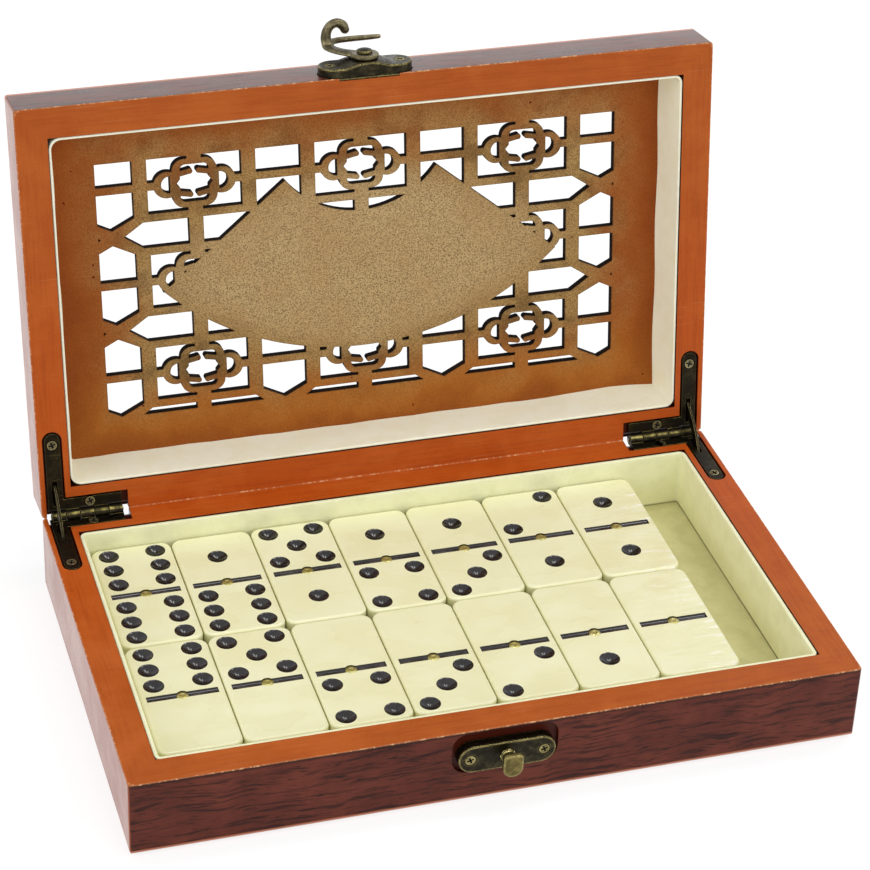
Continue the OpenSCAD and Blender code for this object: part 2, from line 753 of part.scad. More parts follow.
module hook_plate() {
    color("darkkhaki") on_lid() on_front(hook_x, rim_z + hook_z) difference() {
        union() {
            translate([0, 0, -hook_pocket]) linear_extrude(plate_t) stadium(plate_l, hook_plate_w);
            intersection() {
                translate([0, 0, plate_face - EPS])
                    cylinder(h = swell_h + EPS, r1 = swell_foot_r, r2 = swell_r);
                linear_extrude(plate_t + swell_h) stadium(plate_l, hook_plate_w);
            }
        }
        translate([0, 0, plate_face]) plate_screw_places() screw_hole();
        translate([0, 0, -hook_pocket - 1]) cylinder(h = plate_t + swell_h + 2, r = rivet_d / 2 + screw_clear);
    }
}

module hook_rivet() {
    head_r = rivet_head_d / 2;
    ball_r = (pow(head_r, 2) + pow(rivet_head_t / 2, 2)) / rivet_head_t;
    color("darkkhaki") on_lid() on_front(hook_x, rim_z + hook_z) {
        translate([0, 0, -hook_pocket]) cylinder(h = hook_top + hook_gap + hook_pocket + EPS, r = rivet_d / 2);
        translate([0, 0, hook_top + hook_gap]) intersection() {
            cylinder(h = rivet_head_t, r = head_r);
            translate([0, 0, rivet_head_t - ball_r]) sphere(ball_r);
        }
    }
}

// The flat of the hook: eye, arm and the bend that narrows towards the prong
module hook_plan() {
    inner_r = bend_r - hook_arm_w / 2 - prong_r;
    inner_x = bend_x - bend_r + hook_arm_w + inner_r;
    inner_y = bend_y + bend_r - 2 * prong_r - inner_r;
    circle(eye_r);
    difference() {
        intersection() {
            translate([bend_x, bend_y]) circle(bend_r, $fn = 96);
            translate([bend_x - bend_r - 1, bend_y - 2]) square([bend_r + 1, bend_r + 3]);
        }
        translate([inner_x, inner_y]) circle(inner_r, $fn = 96);
        translate([inner_x, bend_y - 3]) square([bend_r, inner_y - bend_y + 3]);
    }
    polygon([[-eye_r * 0.97, 0.8], [0.3 - hook_side, bend_y - 1.9], [hook_arm_w - hook_side + 0.3, bend_y - 1],
        [-1.2, eye_r * 0.95]]);
}

// The round prong, from inside the bend to its tip
module prong() {
    tail = bend_x - 2;
    translate([tail, prong_y, hook_mid]) rotate([0, 90, 0]) {
        cylinder(h = prong_l - tail, r1 = prong_r, r2 = prong_tip_r);
        translate([0, 0, prong_l - tail]) rotate_extrude() intersection() {
            circle(prong_tip_r);
            square(prong_tip_r);
        }
    }
}

// The thumb horn: a bar that leaves the bend outwards and curls over towards the prong
module horn() {
    r = horn_d / 2;
    end = 25;
    translate([hook_arm_w / 2 - hook_side + 0.2, bend_y + 0.4]) {
        translate([0, 0, hook_low + 0.2]) cylinder(h = horn_r + hook_t, r1 = 1.1 * r, r2 = 0.9 * r);
        translate([horn_r, 0, hook_top + horn_r - 0.6]) rotate([90, 0, 0]) {
            rotate_extrude(angle = 180 - end, start = end) translate([horn_r, 0]) circle(r);
            rotate(end) translate([horn_r, 0]) sphere(1.04 * r);
        }
    }
}

module hook() {
    color("darkkhaki") on_lid() on_front(hook_x, rim_z + hook_z) difference() {
        union() {
            translate([0, 0, hook_low]) linear_extrude(hook_t) hook_plan();
            prong();
            horn();
        }
        translate([0, 0, hook_low - 1]) cylinder(h = hook_t + 2, r = rivet_d / 2 + rivet_clear);
    }
}

module hook_plate_screws() {
    color("goldenrod") on_lid() on_front(hook_x, rim_z + hook_z) translate([0, 0, plate_face])
        plate_screw_places() screw();
}

// ---- tiles ----

// Places of the spots in one half, as steps from its middle
function spots(n) = concat(
    n % 2 == 1 ? [[0, 0]] : [],
    n > 1 ? [[-1, -1], [1, 1]] : [],
    n > 3 ? [[-1, 1], [1, -1]] : [],
    n == 6 ? [[-1, 0], [1, 0]] : []);

// One tile on z = 0: the body with its spots and groove, and the brass pin in its middle
module tile(halves) {
    pin_top = tile_t - spinner_drop;
    hole_d = spinner_d + 2 * spinner_clear;
    color("ivory") difference() {
        intersection() {
            linear_extrude(tile_t) rounded(tile_w, tile_l, tile_corner_r);
            translate([0, 0, tile_t / 2]) rotate([90, 0, 90])
                linear_extrude(tile_w + 2, center = true) rounded(tile_l, tile_t, tile_edge_r);
            translate([0, 0, tile_t / 2]) rotate([90, 0, 0])
                linear_extrude(tile_l + 2, center = true) rounded(tile_w, tile_t, tile_edge_r);
        }
        for (half = [0, 1], p = spots(halves[half]))
            translate([p[0] * spot_x, (half == 0 ? half_y : -half_y) + p[1] * spot_pitch, tile_t])
                translate([0, 0, spot_r - spot_depth]) sphere(spot_r);
        translate([-groove_l / 2, -groove_w / 2, tile_t - groove_depth]) cube([groove_l, groove_w, groove_depth + 1]);
        translate([0, 0, tile_t - spinner_depth]) cylinder(h = spinner_depth + 1, d = hole_d);
    }
    color("goldenrod") translate([0, 0, tile_t - spinner_depth]) intersection() {
        cylinder(h = spinner_depth - spinner_drop, d = spinner_d);
        translate([0, 0, spinner_depth - spinner_drop - dome_r]) sphere(dome_r);
    }
}

// A tile in its place in the tray
module tile_in_box(t) {
    translate([tile_x0 + t[1] * col_pitch, tile_y0 - t[2] * tile_row_pitch, floor_z + t[3] * tile_t]) tile(t[0]);
}

base_wall(FRONT);  // base_front_wall
base_wall(BACK);  // base_back_wall
base_wall(LEFT);  // base_left_wall
base_wall(RIGHT);  // base_right_wall
base_bottom_panel();
base_floor_paper();
base_lining();
lid_wall(FRONT);  // lid_front_wall
lid_wall(BACK);  // lid_back_wall
lid_wall(LEFT);  // lid_left_wall
lid_wall(RIGHT);  // lid_right_wall
lid_fret_panel();
lid_lining();
base_leaf(LEFT);  // left_hinge_base_leaf
lid_leaf(LEFT);  // left_hinge_lid_leaf
hinge_pin(LEFT);  // left_hinge_pin
stay(LEFT);  // left_hinge_stay
base_leaf(RIGHT);  // right_hinge_base_leaf
lid_leaf(RIGHT);  // right_hinge_lid_leaf
hinge_pin(RIGHT);  // right_hinge_pin
stay(RIGHT);  // right_hinge_stay
base_hinge_screws();
lid_hinge_screws();
catch_plate();
catch_stud();
catch_screws();
hook_plate();
hook();
hook_rivet();
hook_plate_screws();
for (t = TILES) tile_in_box(t);
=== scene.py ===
"""Domino storage box: a hinged wooden case with a pierced lid, brass fittings and 28 tiles.

Lengths in the classes are millimetres in the closed box's frame: X to the right, Y to the
back, Z up, with the underside at z = 0. Meshes are handed to Blender in metres.
"""

import logging
import math
from collections.abc import Sequence
from dataclasses import dataclass
from enum import Enum
from functools import partialmethod

import bmesh
import bpy
import numpy as np
from mathutils import Matrix
from mathutils.geometry import delaunay_2d_cdt


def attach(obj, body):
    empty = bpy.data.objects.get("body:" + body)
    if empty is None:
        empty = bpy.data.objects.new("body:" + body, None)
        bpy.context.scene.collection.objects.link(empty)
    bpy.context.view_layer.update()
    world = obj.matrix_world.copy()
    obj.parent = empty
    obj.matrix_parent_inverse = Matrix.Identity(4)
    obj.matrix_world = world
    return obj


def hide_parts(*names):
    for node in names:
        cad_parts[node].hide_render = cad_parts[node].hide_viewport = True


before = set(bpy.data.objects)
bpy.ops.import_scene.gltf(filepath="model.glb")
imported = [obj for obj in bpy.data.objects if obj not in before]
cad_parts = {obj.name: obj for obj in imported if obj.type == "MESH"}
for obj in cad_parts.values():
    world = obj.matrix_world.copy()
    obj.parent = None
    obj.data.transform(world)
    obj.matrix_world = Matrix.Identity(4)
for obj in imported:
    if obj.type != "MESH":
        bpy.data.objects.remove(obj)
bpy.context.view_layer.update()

MM = 0.001
HALF_W = 105.0
HALF_D = 63.5
RIM_Z = 24.5
BASE_H = 24.5
LID_H = 15.8
PANEL_Z = RIM_Z + LID_H - 2.6
FLOOR_Z = 5.8
TRAY_W = 188.8
TRAY_D = 105.8
OPEN_ANGLE = math.radians(99.0)
LATCH_Y = -HALF_D
MERGE = 0.002 * MM
FLAT_ANGLE = math.radians(0.6)
SHARP_ANGLE = math.radians(35.0)

log = logging.getLogger("domino_box")

UP = (0.0, 1.0, 0.0)
OUT = (0.0, 0.0, 1.0)

Socket = bpy.types.NodeSocket
Colour = tuple[float, float, float, float]
Value = float | Sequence[float] | Socket
Knots = tuple[tuple[float, float, float, float, float], ...]


class Place(Enum):
    """Which half of the box a piece belongs to; the value is the way its rim faces along Z."""

    BASE = 1
    LID = -1

    @property
    def height(self) -> float:
        """Height of this half's boards."""
        return BASE_H if self is Place.BASE else LID_H

    @property
    def body(self) -> str:
        """Name of the body that carries this half."""
        return self.name.lower()


class Side(Enum):
    """Left or right end of the box."""

    LEFT = "left"
    RIGHT = "right"


def paint(red: float, green: float, blue: float) -> Colour:
    """Turns a screen colour into the linear colour that shaders take.

    Args:
        red: Red from 0 to 255.
        green: Green from 0 to 255.
        blue: Blue from 0 to 255.

    Returns:
        The linear colour with full opacity.
    """
    screen = np.array([red, green, blue]) / 255.0
    line = np.where(screen <= 0.04045, screen / 12.92, ((screen + 0.055) / 1.055) ** 2.4)
    return (float(line[0]), float(line[1]), float(line[2]), 1.0)


def turned(angle: float) -> np.ndarray:
    """Returns the 3 x 3 matrix that turns by angle about X."""
    c, s = math.cos(angle), math.sin(angle)
    return np.array([[1.0, 0.0, 0.0], [0.0, c, -s], [0.0, s, c]])


AXIS = np.array([0.0, HALF_D, RIM_Z])


def swung(points: np.ndarray, angle: float = -OPEN_ANGLE) -> np.ndarray:
    """Turns points about the hinge axis, by default from the closed lid to the open one.

    Args:
        points: Points in millimetres, the last axis being X, Y, Z.
        angle: Turn about X in radians.

    Returns:
        The turned points, in the same shape.
    """
    return (points - AXIS) @ turned(angle).T + AXIS


# ---- shader graphs ----


class Graph:
    """Adds nodes to one node tree and links them."""

    def __init__(self, tree: bpy.types.NodeTree) -> None:
        """Takes the tree that the nodes go into and empties it."""
        self.tree = tree
        tree.nodes.clear()

    def feed(self, socket: Socket, value: Value) -> None:
        """Links a socket to value, or sets its default where value is a plain one.

        Args:
            socket: Input that takes the value.
            value: Another node's output, a number or a row of numbers.
        """
        if isinstance(value, bpy.types.NodeSocket):
            self.tree.links.new(value, socket)
        else:
            socket.default_value = value

    def fill(self, node: bpy.types.Node, *values: Value) -> bpy.types.Node:
        """Feeds a node's first inputs in order.

        Args:
            node: The node.
            values: One value for each input.

        Returns:
            The node.
        """
        for socket, value in zip(node.inputs, values):
            self.feed(socket, value)
        return node

    def add(
        self, kind: str, settings: dict[str, object] | None = None, **inputs: Value
    ) -> bpy.types.Node:
        """Adds one shader node.

        Args:
            kind: The node's type without its "ShaderNode" prefix.
            settings: Attributes of the node.
            inputs: Values by socket name, with spaces written as underscores.

        Returns:
            The node.
        """
        node = self.tree.nodes.new("ShaderNode" + kind)
        for key, value in (settings or {}).items():
            setattr(node, key, value)
        for key, value in inputs.items():
            self.feed(node.inputs[key.replace("_", " ")], value)
        return node

    def math(self, operation: str, *values: Value) -> Socket:
        """Puts numbers through one Math node and returns its result."""
        return self.fill(self.add("Math", {"operation": operation}), *values).outputs[0]

    plus = partialmethod(math, "ADD")
    minus = partialmethod(math, "SUBTRACT")
    times = partialmethod(math, "MULTIPLY")
    over = partialmethod(math, "DIVIDE")
    larger = partialmethod(math, "MAXIMUM")
    smaller = partialmethod(math, "MINIMUM")
    unsigned = partialmethod(math, "ABSOLUTE")

    def vector(self, operation: str, *values: Value) -> bpy.types.Node:
        """Puts vectors through one Vector Math node and returns the node."""
        return self.fill(self.add("VectorMath", {"operation": operation}), *values)

    def mix(self, share: Value, first: Value, second: Value) -> Socket:
        """Blends two colours.

        Args:
            share: How far the blend goes from first to second.
            first: Colour at nought.
            second: Colour at one.

        Returns:
            The blended colour.
        """
        node = self.add("Mix", {"data_type": "RGBA"})
        for index, value in ((0, share), (6, first), (7, second)):
            self.feed(node.inputs[index], value)
        return node.outputs[2]

    def ramp(
        self, value: Value, low: float, high: float, start: float = 0.0, end: float = 1.0
    ) -> Socket:
        """Eases value from start at low to end at high, flat beyond both."""
        node = self.add("MapRange", {"interpolation_type": "SMOOTHSTEP"})
        return self.fill(node, value, low, high, start, end).outputs[0]

    def scaled(
        self, vector: Socket, scale: Sequence[float], turn: Sequence[float] = (0, 0, 0)
    ) -> Socket:
        """Scales a pattern's coordinates, then turns them."""
        return self.add("Mapping", Vector=vector, Scale=scale, Rotation=turn).outputs[0]

    def noise(
        self, vector: Socket, scale: Value, detail: float = 2.0, rough: float = 0.5
    ) -> Socket:
        """Returns fractal noise about one half, with scale features per unit."""
        node = self.add("TexNoise", Vector=vector, Scale=scale, Detail=detail, Roughness=rough)
        return node.outputs[0]

    def parts(self, vector: Socket) -> tuple[Socket, Socket, Socket]:
        """Splits a vector into X, Y and Z."""
        node = self.add("SeparateXYZ", Vector=vector)
        return node.outputs[0], node.outputs[1], node.outputs[2]

    def place(self, where: Place) -> tuple[Socket, Socket]:
        """Reads where a shaded point lies and faces, in the closed box's frame.

        Args:
            where: The half that carries the point; an open lid's points are turned back shut.

        Returns:
            The point's position in millimetres, and its normal.
        """
        source = self.add("TexCoord").outputs
        angle = OPEN_ANGLE if where is Place.LID else 0.0
        turn = {"Rotation": (angle, 0.0, 0.0)}
        shift = tuple(AXIS - turned(angle) @ AXIS)
        scale = (1 / MM,) * 3
        spot = self.add("Mapping", Vector=source["Object"], Location=shift, Scale=scale, **turn)
        facing = self.add("Mapping", {"vector_type": "VECTOR"}, Vector=source["Normal"], **turn)
        return spot.outputs[0], facing.outputs[0]

    def group(self, effect: "Effect", **inputs: Value) -> list[Socket]:
        """Places a shared effect with its inputs by name, and returns the masks it puts out."""
        return list(self.add("Group", {"node_tree": effect.tree}, **inputs).outputs)


class Effect(Enum):
    """Shared effects, each one shader node group that is built once."""

    SPECKLE = "speckle"
    STREAKS = "streaks"
    SCRATCHES = "scratches"
    EDGE_WEAR = "edge_wear"
    RING = "ring"

    @property
    def tree(self) -> bpy.types.NodeTree:
        """The effect's node group, built the first time it is asked for."""
        found = bpy.data.node_groups.get(self.value)
        return found if found else getattr(self, "build_" + self.value)()

    def start(
        self, inputs: dict[str, str], outputs: Sequence[str]
    ) -> tuple[Graph, bpy.types.Node, bpy.types.Node]:
        """Opens a new group.

        Args:
            inputs: Socket kind, Float or Vector, by input name.
            outputs: Names of the masks that the group puts out.

        Returns:
            The group's graph, its input node and its output node.
        """
        tree = bpy.data.node_groups.new(self.value, "ShaderNodeTree")
        sockets = [(name, "INPUT", kind) for name, kind in inputs.items()]
        for name, way, kind in sockets + [(name, "OUTPUT", "Float") for name in outputs]:
            tree.interface.new_socket(name=name, in_out=way, socket_type="NodeSocket" + kind)
        return Graph(tree), tree.nodes.new("NodeGroupInput"), tree.nodes.new("NodeGroupOutput")

    def build_speckle(self) -> bpy.types.NodeTree:
        """Fine grains and soft clouds: two noises a dozen times apart in scale."""
        inputs = {"Position": "Vector", "Grain": "Float"}
        graph, given, put = self.start(inputs, ("Grains", "Clouds"))
        position, grain = given.outputs[0], given.outputs[1]
        fine = graph.noise(position, graph.over(1.0, grain), 3.0, 0.7)
        clouds = graph.noise(position, graph.over(0.08, grain), 3.0, 0.55)
        graph.fill(put, graph.ramp(fine, 0.33, 0.67), graph.ramp(clouds, 0.3, 0.7))
        return graph.tree

    def build_streaks(self) -> bpy.types.NodeTree:
        """Wood streaks: noise drawn out level on upright faces and along X on level ones."""
        inputs = {"Position": "Vector", "Normal": "Vector"}
        graph, given, put = self.start(inputs, ("Bands", "Pores"))
        position, normal = given.outputs[0], given.outputs[1]
        level = graph.ramp(graph.unsigned(graph.parts(normal)[2]), 0.6, 0.8)
        sway = graph.times(graph.noise(position, 0.06, 1.0, 0.5), 5.0)
        shift = graph.add("CombineXYZ", Y=sway, Z=sway).outputs[0]
        position = graph.vector("ADD", position, shift).outputs[0]
        masks = []
        for upright, flat, detail, low, high in (
            ((0.07, 0.07, 0.85), (0.07, 0.85, 0.07), 4.0, 0.47, 0.66),
            ((0.2, 0.2, 2.6), (0.2, 2.6, 0.2), 2.0, 0.58, 0.68),
        ):
            walls = graph.noise(graph.scaled(position, upright), 1.0, detail, 0.6)
            tops = graph.noise(graph.scaled(position, flat), 1.0, detail, 0.6)
            both = graph.add("Mix", {"data_type": "FLOAT"})
            for index, value in ((0, level), (2, walls), (3, tops)):
                graph.feed(both.inputs[index], value)
            masks.append(graph.ramp(both.outputs[0], low, high))
        graph.fill(put, *masks)
        return graph.tree

    def build_scratches(self) -> bpy.types.NodeTree:
        """Hairline scratches: the crests of three long narrow noises laid crosswise."""
        graph, given, put = self.start({"Position": "Vector", "Length": "Float"}, ("Mask",))
        masks = []
        for turn in (0.35, 1.9, 2.7):
            along = graph.scaled(given.outputs[0], (1.0, 38.0, 38.0), (0.3, 0.2, turn))
            line = graph.noise(along, graph.over(1.0, given.outputs[1]), 1.0, 0.4)
            masks.append(graph.ramp(line, 0.74, 0.80))
        graph.fill(put, graph.larger(graph.larger(masks[0], masks[1]), masks[2]))
        return graph.tree

    def build_edge_wear(self) -> bpy.types.NodeTree:
        """Rubbed edges: where the rounded-over normal leaves the true one, broken up by noise."""
        inputs = {"Position": "Vector", "Radius": "Float", "Breakup": "Float"}
        graph, given, put = self.start(inputs, ("Mask",))
        rounded = graph.add("Bevel", {"samples": 6}, Radius=given.outputs[1]).outputs[0]
        true = graph.add("NewGeometry").outputs["Normal"]
        agree = graph.vector("DOT_PRODUCT", rounded, true).outputs["Value"]
        edge = graph.ramp(graph.minus(1.0, agree), 0.015, 0.16)
        breakup = graph.noise(given.outputs[0], given.outputs[2], 3.0, 0.6)
        graph.fill(put, graph.times(edge, graph.ramp(breakup, 0.3, 0.6, 0.35, 1.0)))
        return graph.tree

    def build_ring(self) -> bpy.types.NodeTree:
        """A ring round Centre: one at Radius, fading to nought at Width from it."""
        inputs = {"Position": "Vector", "Centre": "Vector", "Radius": "Float", "Width": "Float"}
        graph, given, put = self.start(inputs, ("Mask",))
        away = graph.vector("DISTANCE", given.outputs[0], given.outputs[1]).outputs["Value"]
        off = graph.unsigned(graph.minus(away, given.outputs[2]))
        graph.fill(put, graph.ramp(graph.over(off, given.outputs[3]), 1.0, 0.4))
        return graph.tree


# ---- finishes ----


class MaterialGraph(Graph):
    """The graph of one new material, which ends in a Principled shader."""

    def __init__(self, name: str, **constants: Value) -> None:
        """Starts the material.

        Args:
            name: The material's name.
            constants: Values by socket of the shader, with spaces written as underscores.
        """
        self.material = bpy.data.materials.new(name)
        self.material.use_nodes = True
        super().__init__(self.material.node_tree)
        self.shader = self.add("BsdfPrincipled", **constants)
        self.fill(self.add("OutputMaterial"), self.shader.outputs[0])

    def finished(
        self, colour: Value, rough: Value, relief: Socket | None = None, step: float = 0.0,
        strength: float = 0.5,
    ) -> bpy.types.Material:
        """Feeds the shader and hands over the material.

        Args:
            colour: Base colour.
            rough: Roughness.
            relief: Height of the surface from nought to one; None leaves the surface smooth.
            step: Full height of the relief in millimetres.
            strength: Strength of the relief.

        Returns:
            The material.
        """
        self.feed(self.shader.inputs["Base Color"], colour)
        self.feed(self.shader.inputs["Roughness"], rough)
        if relief is not None:
            bump = self.add("Bump", Height=relief, Distance=step * MM, Strength=strength)
            self.feed(self.shader.inputs["Normal"], bump.outputs[0])
        return self.material


@dataclass(frozen=True)
class BoardFinish:
    """Painted rims and ends, wood-patterned foil front and back, and stained cuts."""

    place: Place
    rim_front: Colour = paint(173, 83, 25)
    rim_back: Colour = paint(184, 79, 17)
    ends: Colour = paint(162, 84, 54)
    foil: Colour = paint(93, 42, 31)
    foil_dark: Colour = paint(44, 18, 15)
    foil_light: Colour = paint(114, 56, 42)
    pore: Colour = paint(24, 9, 9)
    cut: Colour = paint(52, 16, 10)
    bare: Colour = paint(228, 176, 130)
    rub_and_reflection: Colour = paint(214, 134, 100)
    rim_dark: Colour = paint(150, 58, 14)
    rim_patch: Colour = paint(202, 106, 44)
    rim_fleck: Colour = paint(216, 122, 60)
    ends_dark: Colour = paint(146, 66, 36)
    cut_pale: Colour = paint(84, 28, 13)
    corner_reach: float = 2.4
    corner_wear: float = 0.35

    def material(self) -> bpy.types.Material:
        """Builds the material.

        Depth counts from the rim's face, and side, front and outer from the three outer faces.
        Skin is the least of those three, less near a corner, where the foil is worn through.
        Foil lies where skin is nought, paint where depth is nought, and stain on the cuts between.
        """
        name = f"board_{self.place.body}"
        graph = MaterialGraph(name, Specular_IOR_Level=0.14, Coat_Roughness=0.2)
        position, normal = graph.place(self.place)
        x, y, z = graph.parts(position)
        way = float(self.place.value)
        depth = graph.times(graph.minus(RIM_Z, z), way)
        toward_x, _, toward_z = graph.parts(normal)
        rimward = graph.times(toward_z, way)
        side = graph.minus(HALF_W, graph.unsigned(x))
        front = graph.minus(HALF_D, graph.unsigned(y))
        outer = graph.minus(self.place.height, depth)
        low, high = graph.smaller(side, front), graph.larger(side, front)
        nearest = graph.smaller(low, outer)
        second = graph.larger(low, graph.smaller(high, outer))
        corner = graph.larger(graph.minus(self.corner_reach, second), 0.0)
        skin = graph.minus(nearest, graph.times(corner, self.corner_wear))
        foil_mask = graph.times(graph.ramp(skin, 0.25, 0.1), graph.ramp(rimward, 0.8, 0.5))
        rim_mask = graph.times(graph.ramp(depth, 0.35, 0.15), graph.ramp(rimward, 0.35, 0.6))
        end_mask = graph.ramp(graph.unsigned(toward_x), 0.55, 0.75)
        speckle = graph.group(Effect.SPECKLE, Position=position, Grain=0.3)[0]
        bands, pores = graph.group(Effect.STREAKS, Position=position, Normal=normal)
        scratches = graph.group(Effect.SCRATCHES, Position=position, Length=24.0)[0]

        along = graph.noise(graph.scaled(position, (0.06, 1.3, 0.3)), 1.0, 3.0, 0.6)
        across = graph.noise(graph.scaled(position, (1.3, 0.06, 0.3)), 1.0, 3.0, 0.6)
        on_end = graph.ramp(graph.minus(front, side), -0.2, 0.2)
        on_long = graph.minus(1.0, on_end)
        grain = graph.plus(graph.times(across, on_end), graph.times(along, on_long))
        patches = graph.noise(position, 0.06, 3.0, 0.6)
        rim = graph.mix(graph.ramp(y, -50.0, 58.0), self.rim_front, self.rim_back)
        rim = graph.mix(graph.ramp(grain, 0.4, 0.68, 0.0, 0.4), rim, self.rim_dark)
        rim = graph.mix(graph.ramp(patches, 0.42, 0.66, 0.0, 0.3), rim, self.rim_patch)
        rim = graph.mix(graph.ramp(speckle, 0.0, 1.0, 0.0, 0.12), rim, self.rim_fleck)
        scuffs = graph.noise(graph.scaled(position, (0.07, 0.2, 0.2)), 1.0, 5.0, 0.85)
        scuffs = graph.ramp(scuffs, 0.66, 0.8, 0.0, 0.4)
        rim = graph.mix(graph.larger(scuffs, graph.times(scratches, 0.1)), rim, self.bare)
        ends = graph.mix(graph.ramp(patches, 0.35, 0.65, 0.0, 0.6), self.ends, self.ends_dark)
        wood = graph.mix(graph.ramp(patches, 0.38, 0.64, 0.0, 0.7), self.foil, self.foil_light)
        wood = graph.mix(graph.times(bands, 0.85), wood, self.foil_dark)
        wood = graph.mix(graph.times(pores, 0.8), wood, self.pore)
        wood = graph.mix(graph.ramp(depth, 1.3, 0.6, 0.0, 0.65), wood, self.foil_dark)
        wood = graph.mix(graph.larger(end_mask, graph.ramp(toward_z, 0.8, 0.9)), wood, ends)
        # Pale band by the edge furthest from the rim: partly worn paint, partly a painted
        # reflection.
        wood = graph.mix(graph.ramp(outer, 2.3, 1.5, 0.0, 0.8), wood, self.rub_and_reflection)
        stain = graph.mix(speckle, self.cut, self.cut_pale)

        colour = graph.mix(foil_mask, graph.mix(rim_mask, stain, rim), wood)
        edge = graph.times(graph.ramp(skin, 0.5, 0.05), graph.ramp(depth, 0.45, 0.1))
        chips = graph.ramp(graph.noise(position, 0.7, 4.0, 0.8), 0.5, 0.6)
        worn = graph.times(graph.larger(chips, 0.18), graph.ramp(end_mask, 0.0, 1.0, 1.0, 0.4))
        colour = graph.mix(graph.times(edge, worn), colour, self.bare)
        glancing = graph.add("LayerWeight").outputs["Facing"]
        graph.feed(graph.shader.inputs["Coat Weight"], graph.ramp(glancing, 0.42, 0.8, 0.0, 0.6))
        relief = graph.plus(graph.times(speckle, 0.5), bands)
        return graph.finished(colour, graph.ramp(patches, 0.3, 0.7, 0.26, 0.4), relief, 0.03)


@dataclass(frozen=True)
class FretFinish:
    """Pierced fibreboard: a bare plaque, smoky bars, overspray by the frame and burnt cuts."""

    plaque: Colour = paint(198, 168, 121)
    plaque_grain: Colour = paint(106, 82, 50)
    bar: Colour = paint(178, 143, 90)
    bar_grain: Colour = paint(118, 84, 44)
    overspray: Colour = paint(160, 82, 30)
    back_spray: Colour = paint(178, 104, 36)
    deep_spray: Colour = paint(134, 58, 16)
    burnt: Colour = paint(14, 8, 5)
    smoke: Colour = paint(66, 42, 22)
    foil: Colour = paint(104, 48, 36)
    foil_dark: Colour = paint(54, 22, 17)
    middle: tuple[float, float] = (-1.0, -2.5)
    pitch: tuple[float, float] = (50.5, 29.6)
    plaque_half: tuple[float, float] = (63.0, 30.0)
    frame_half: tuple[float, float] = (95.8, 54.3)
    plaque_patch: Colour = paint(168, 130, 84)
    plaque_rim: Colour = paint(150, 112, 62)
    rust: Colour = paint(104, 18, 8)
    char: Colour = paint(34, 20, 12)

    def material(self) -> bpy.types.Material:
        """Builds the material.

        The plaque is where (|x| / half width)^1.3 + (|y| / half depth)^1.6 is under one. Smoke lies
        round the middles of the flowers, which repeat at the pattern's pitch.
        """
        graph = MaterialGraph("fretwork_fibreboard", Specular_IOR_Level=0.06)
        position, normal = graph.place(Place.LID)
        x, y, _ = graph.parts(position)
        grains, clouds = graph.group(Effect.SPECKLE, Position=position, Grain=0.42)
        patches = graph.ramp(graph.noise(position, 0.05, 3.0, 0.55), 0.36, 0.66)
        moved = [graph.unsigned(graph.minus(v, middle)) for v, middle in zip((x, y), self.middle)]
        reach = [graph.over(v, half) for v, half in zip(moved, self.plaque_half)]
        lens = graph.plus(graph.math("POWER", reach[0], 1.3), graph.math("POWER", reach[1], 1.6))
        plaque_mask = graph.ramp(lens, 1.25, 0.8)
        plaque = graph.mix(graph.ramp(grains, 0.05, 0.7, 0.8, 0.0), self.plaque, self.plaque_grain)
        plaque = graph.mix(graph.ramp(patches, 0.0, 1.0, 0.0, 0.25), plaque, self.plaque_patch)
        plaque = graph.mix(graph.ramp(lens, 0.6, 1.0, 0.0, 0.3), plaque, self.plaque_rim)
        bars = graph.mix(graph.ramp(grains, 0.1, 0.8, 0.75, 0.0), self.bar, self.bar_grain)
        cells = [graph.math("PINGPONG", v, pitch / 2) for v, pitch in zip(moved, self.pitch)]
        knot = graph.times(graph.ramp(cells[0], 14.0, 4.0), graph.ramp(cells[1], 9.0, 3.0))
        haze = graph.ramp(graph.noise(position, 0.11, 3.0, 0.6), 0.44, 0.68)
        smoke = graph.larger(graph.times(knot, 0.6), graph.times(haze, 0.45))
        bars = graph.mix(smoke, bars, self.smoke)

        inset_x = graph.minus(self.frame_half[0], graph.unsigned(x))
        inset_y = graph.minus(self.frame_half[1], graph.unsigned(y))
        inset_y = graph.plus(inset_y, graph.ramp(y, -20.0, -48.0, 0.0, 9.0))
        ragged = graph.plus(graph.smaller(inset_x, inset_y), graph.times(patches, 7.0))
        spray = graph.mix(graph.ramp(y, 18.0, 46.0), self.overspray, self.back_spray)
        spray = graph.mix(graph.ramp(ragged, 16.0, 4.0, 0.0, 0.6), spray, self.deep_spray)
        spray = graph.mix(graph.ramp(grains, 0.1, 0.9, 0.2, 0.0), spray, self.smoke)
        bars = graph.mix(graph.ramp(ragged, 36.0, 10.0, 0.0, 0.95), bars, spray)
        specks = graph.ramp(graph.noise(position, 0.45, 1.0, 0.5), 0.76, 0.8)
        bars = graph.mix(specks, bars, self.rust)
        board = graph.mix(plaque_mask, bars, plaque)

        bands = graph.group(Effect.STREAKS, Position=position, Normal=normal)[0]
        wood = graph.mix(graph.times(bands, 0.85), self.foil, self.foil_dark)
        toward = graph.parts(normal)[2]
        board = graph.mix(graph.ramp(toward, 0.4, 0.6), board, wood)
        edge = graph.group(Effect.EDGE_WEAR, Position=position, Radius=0.7 * MM, Breakup=0.6)[0]
        board = graph.mix(graph.times(edge, 0.6), board, self.smoke)
        level = graph.ramp(graph.unsigned(toward), 0.3, 0.6)
        colour = graph.mix(level, graph.mix(clouds, self.burnt, self.char), board)
        return graph.finished(colour, graph.ramp(level, 0.0, 1.0, 0.85, 0.55), grains, 0.04)


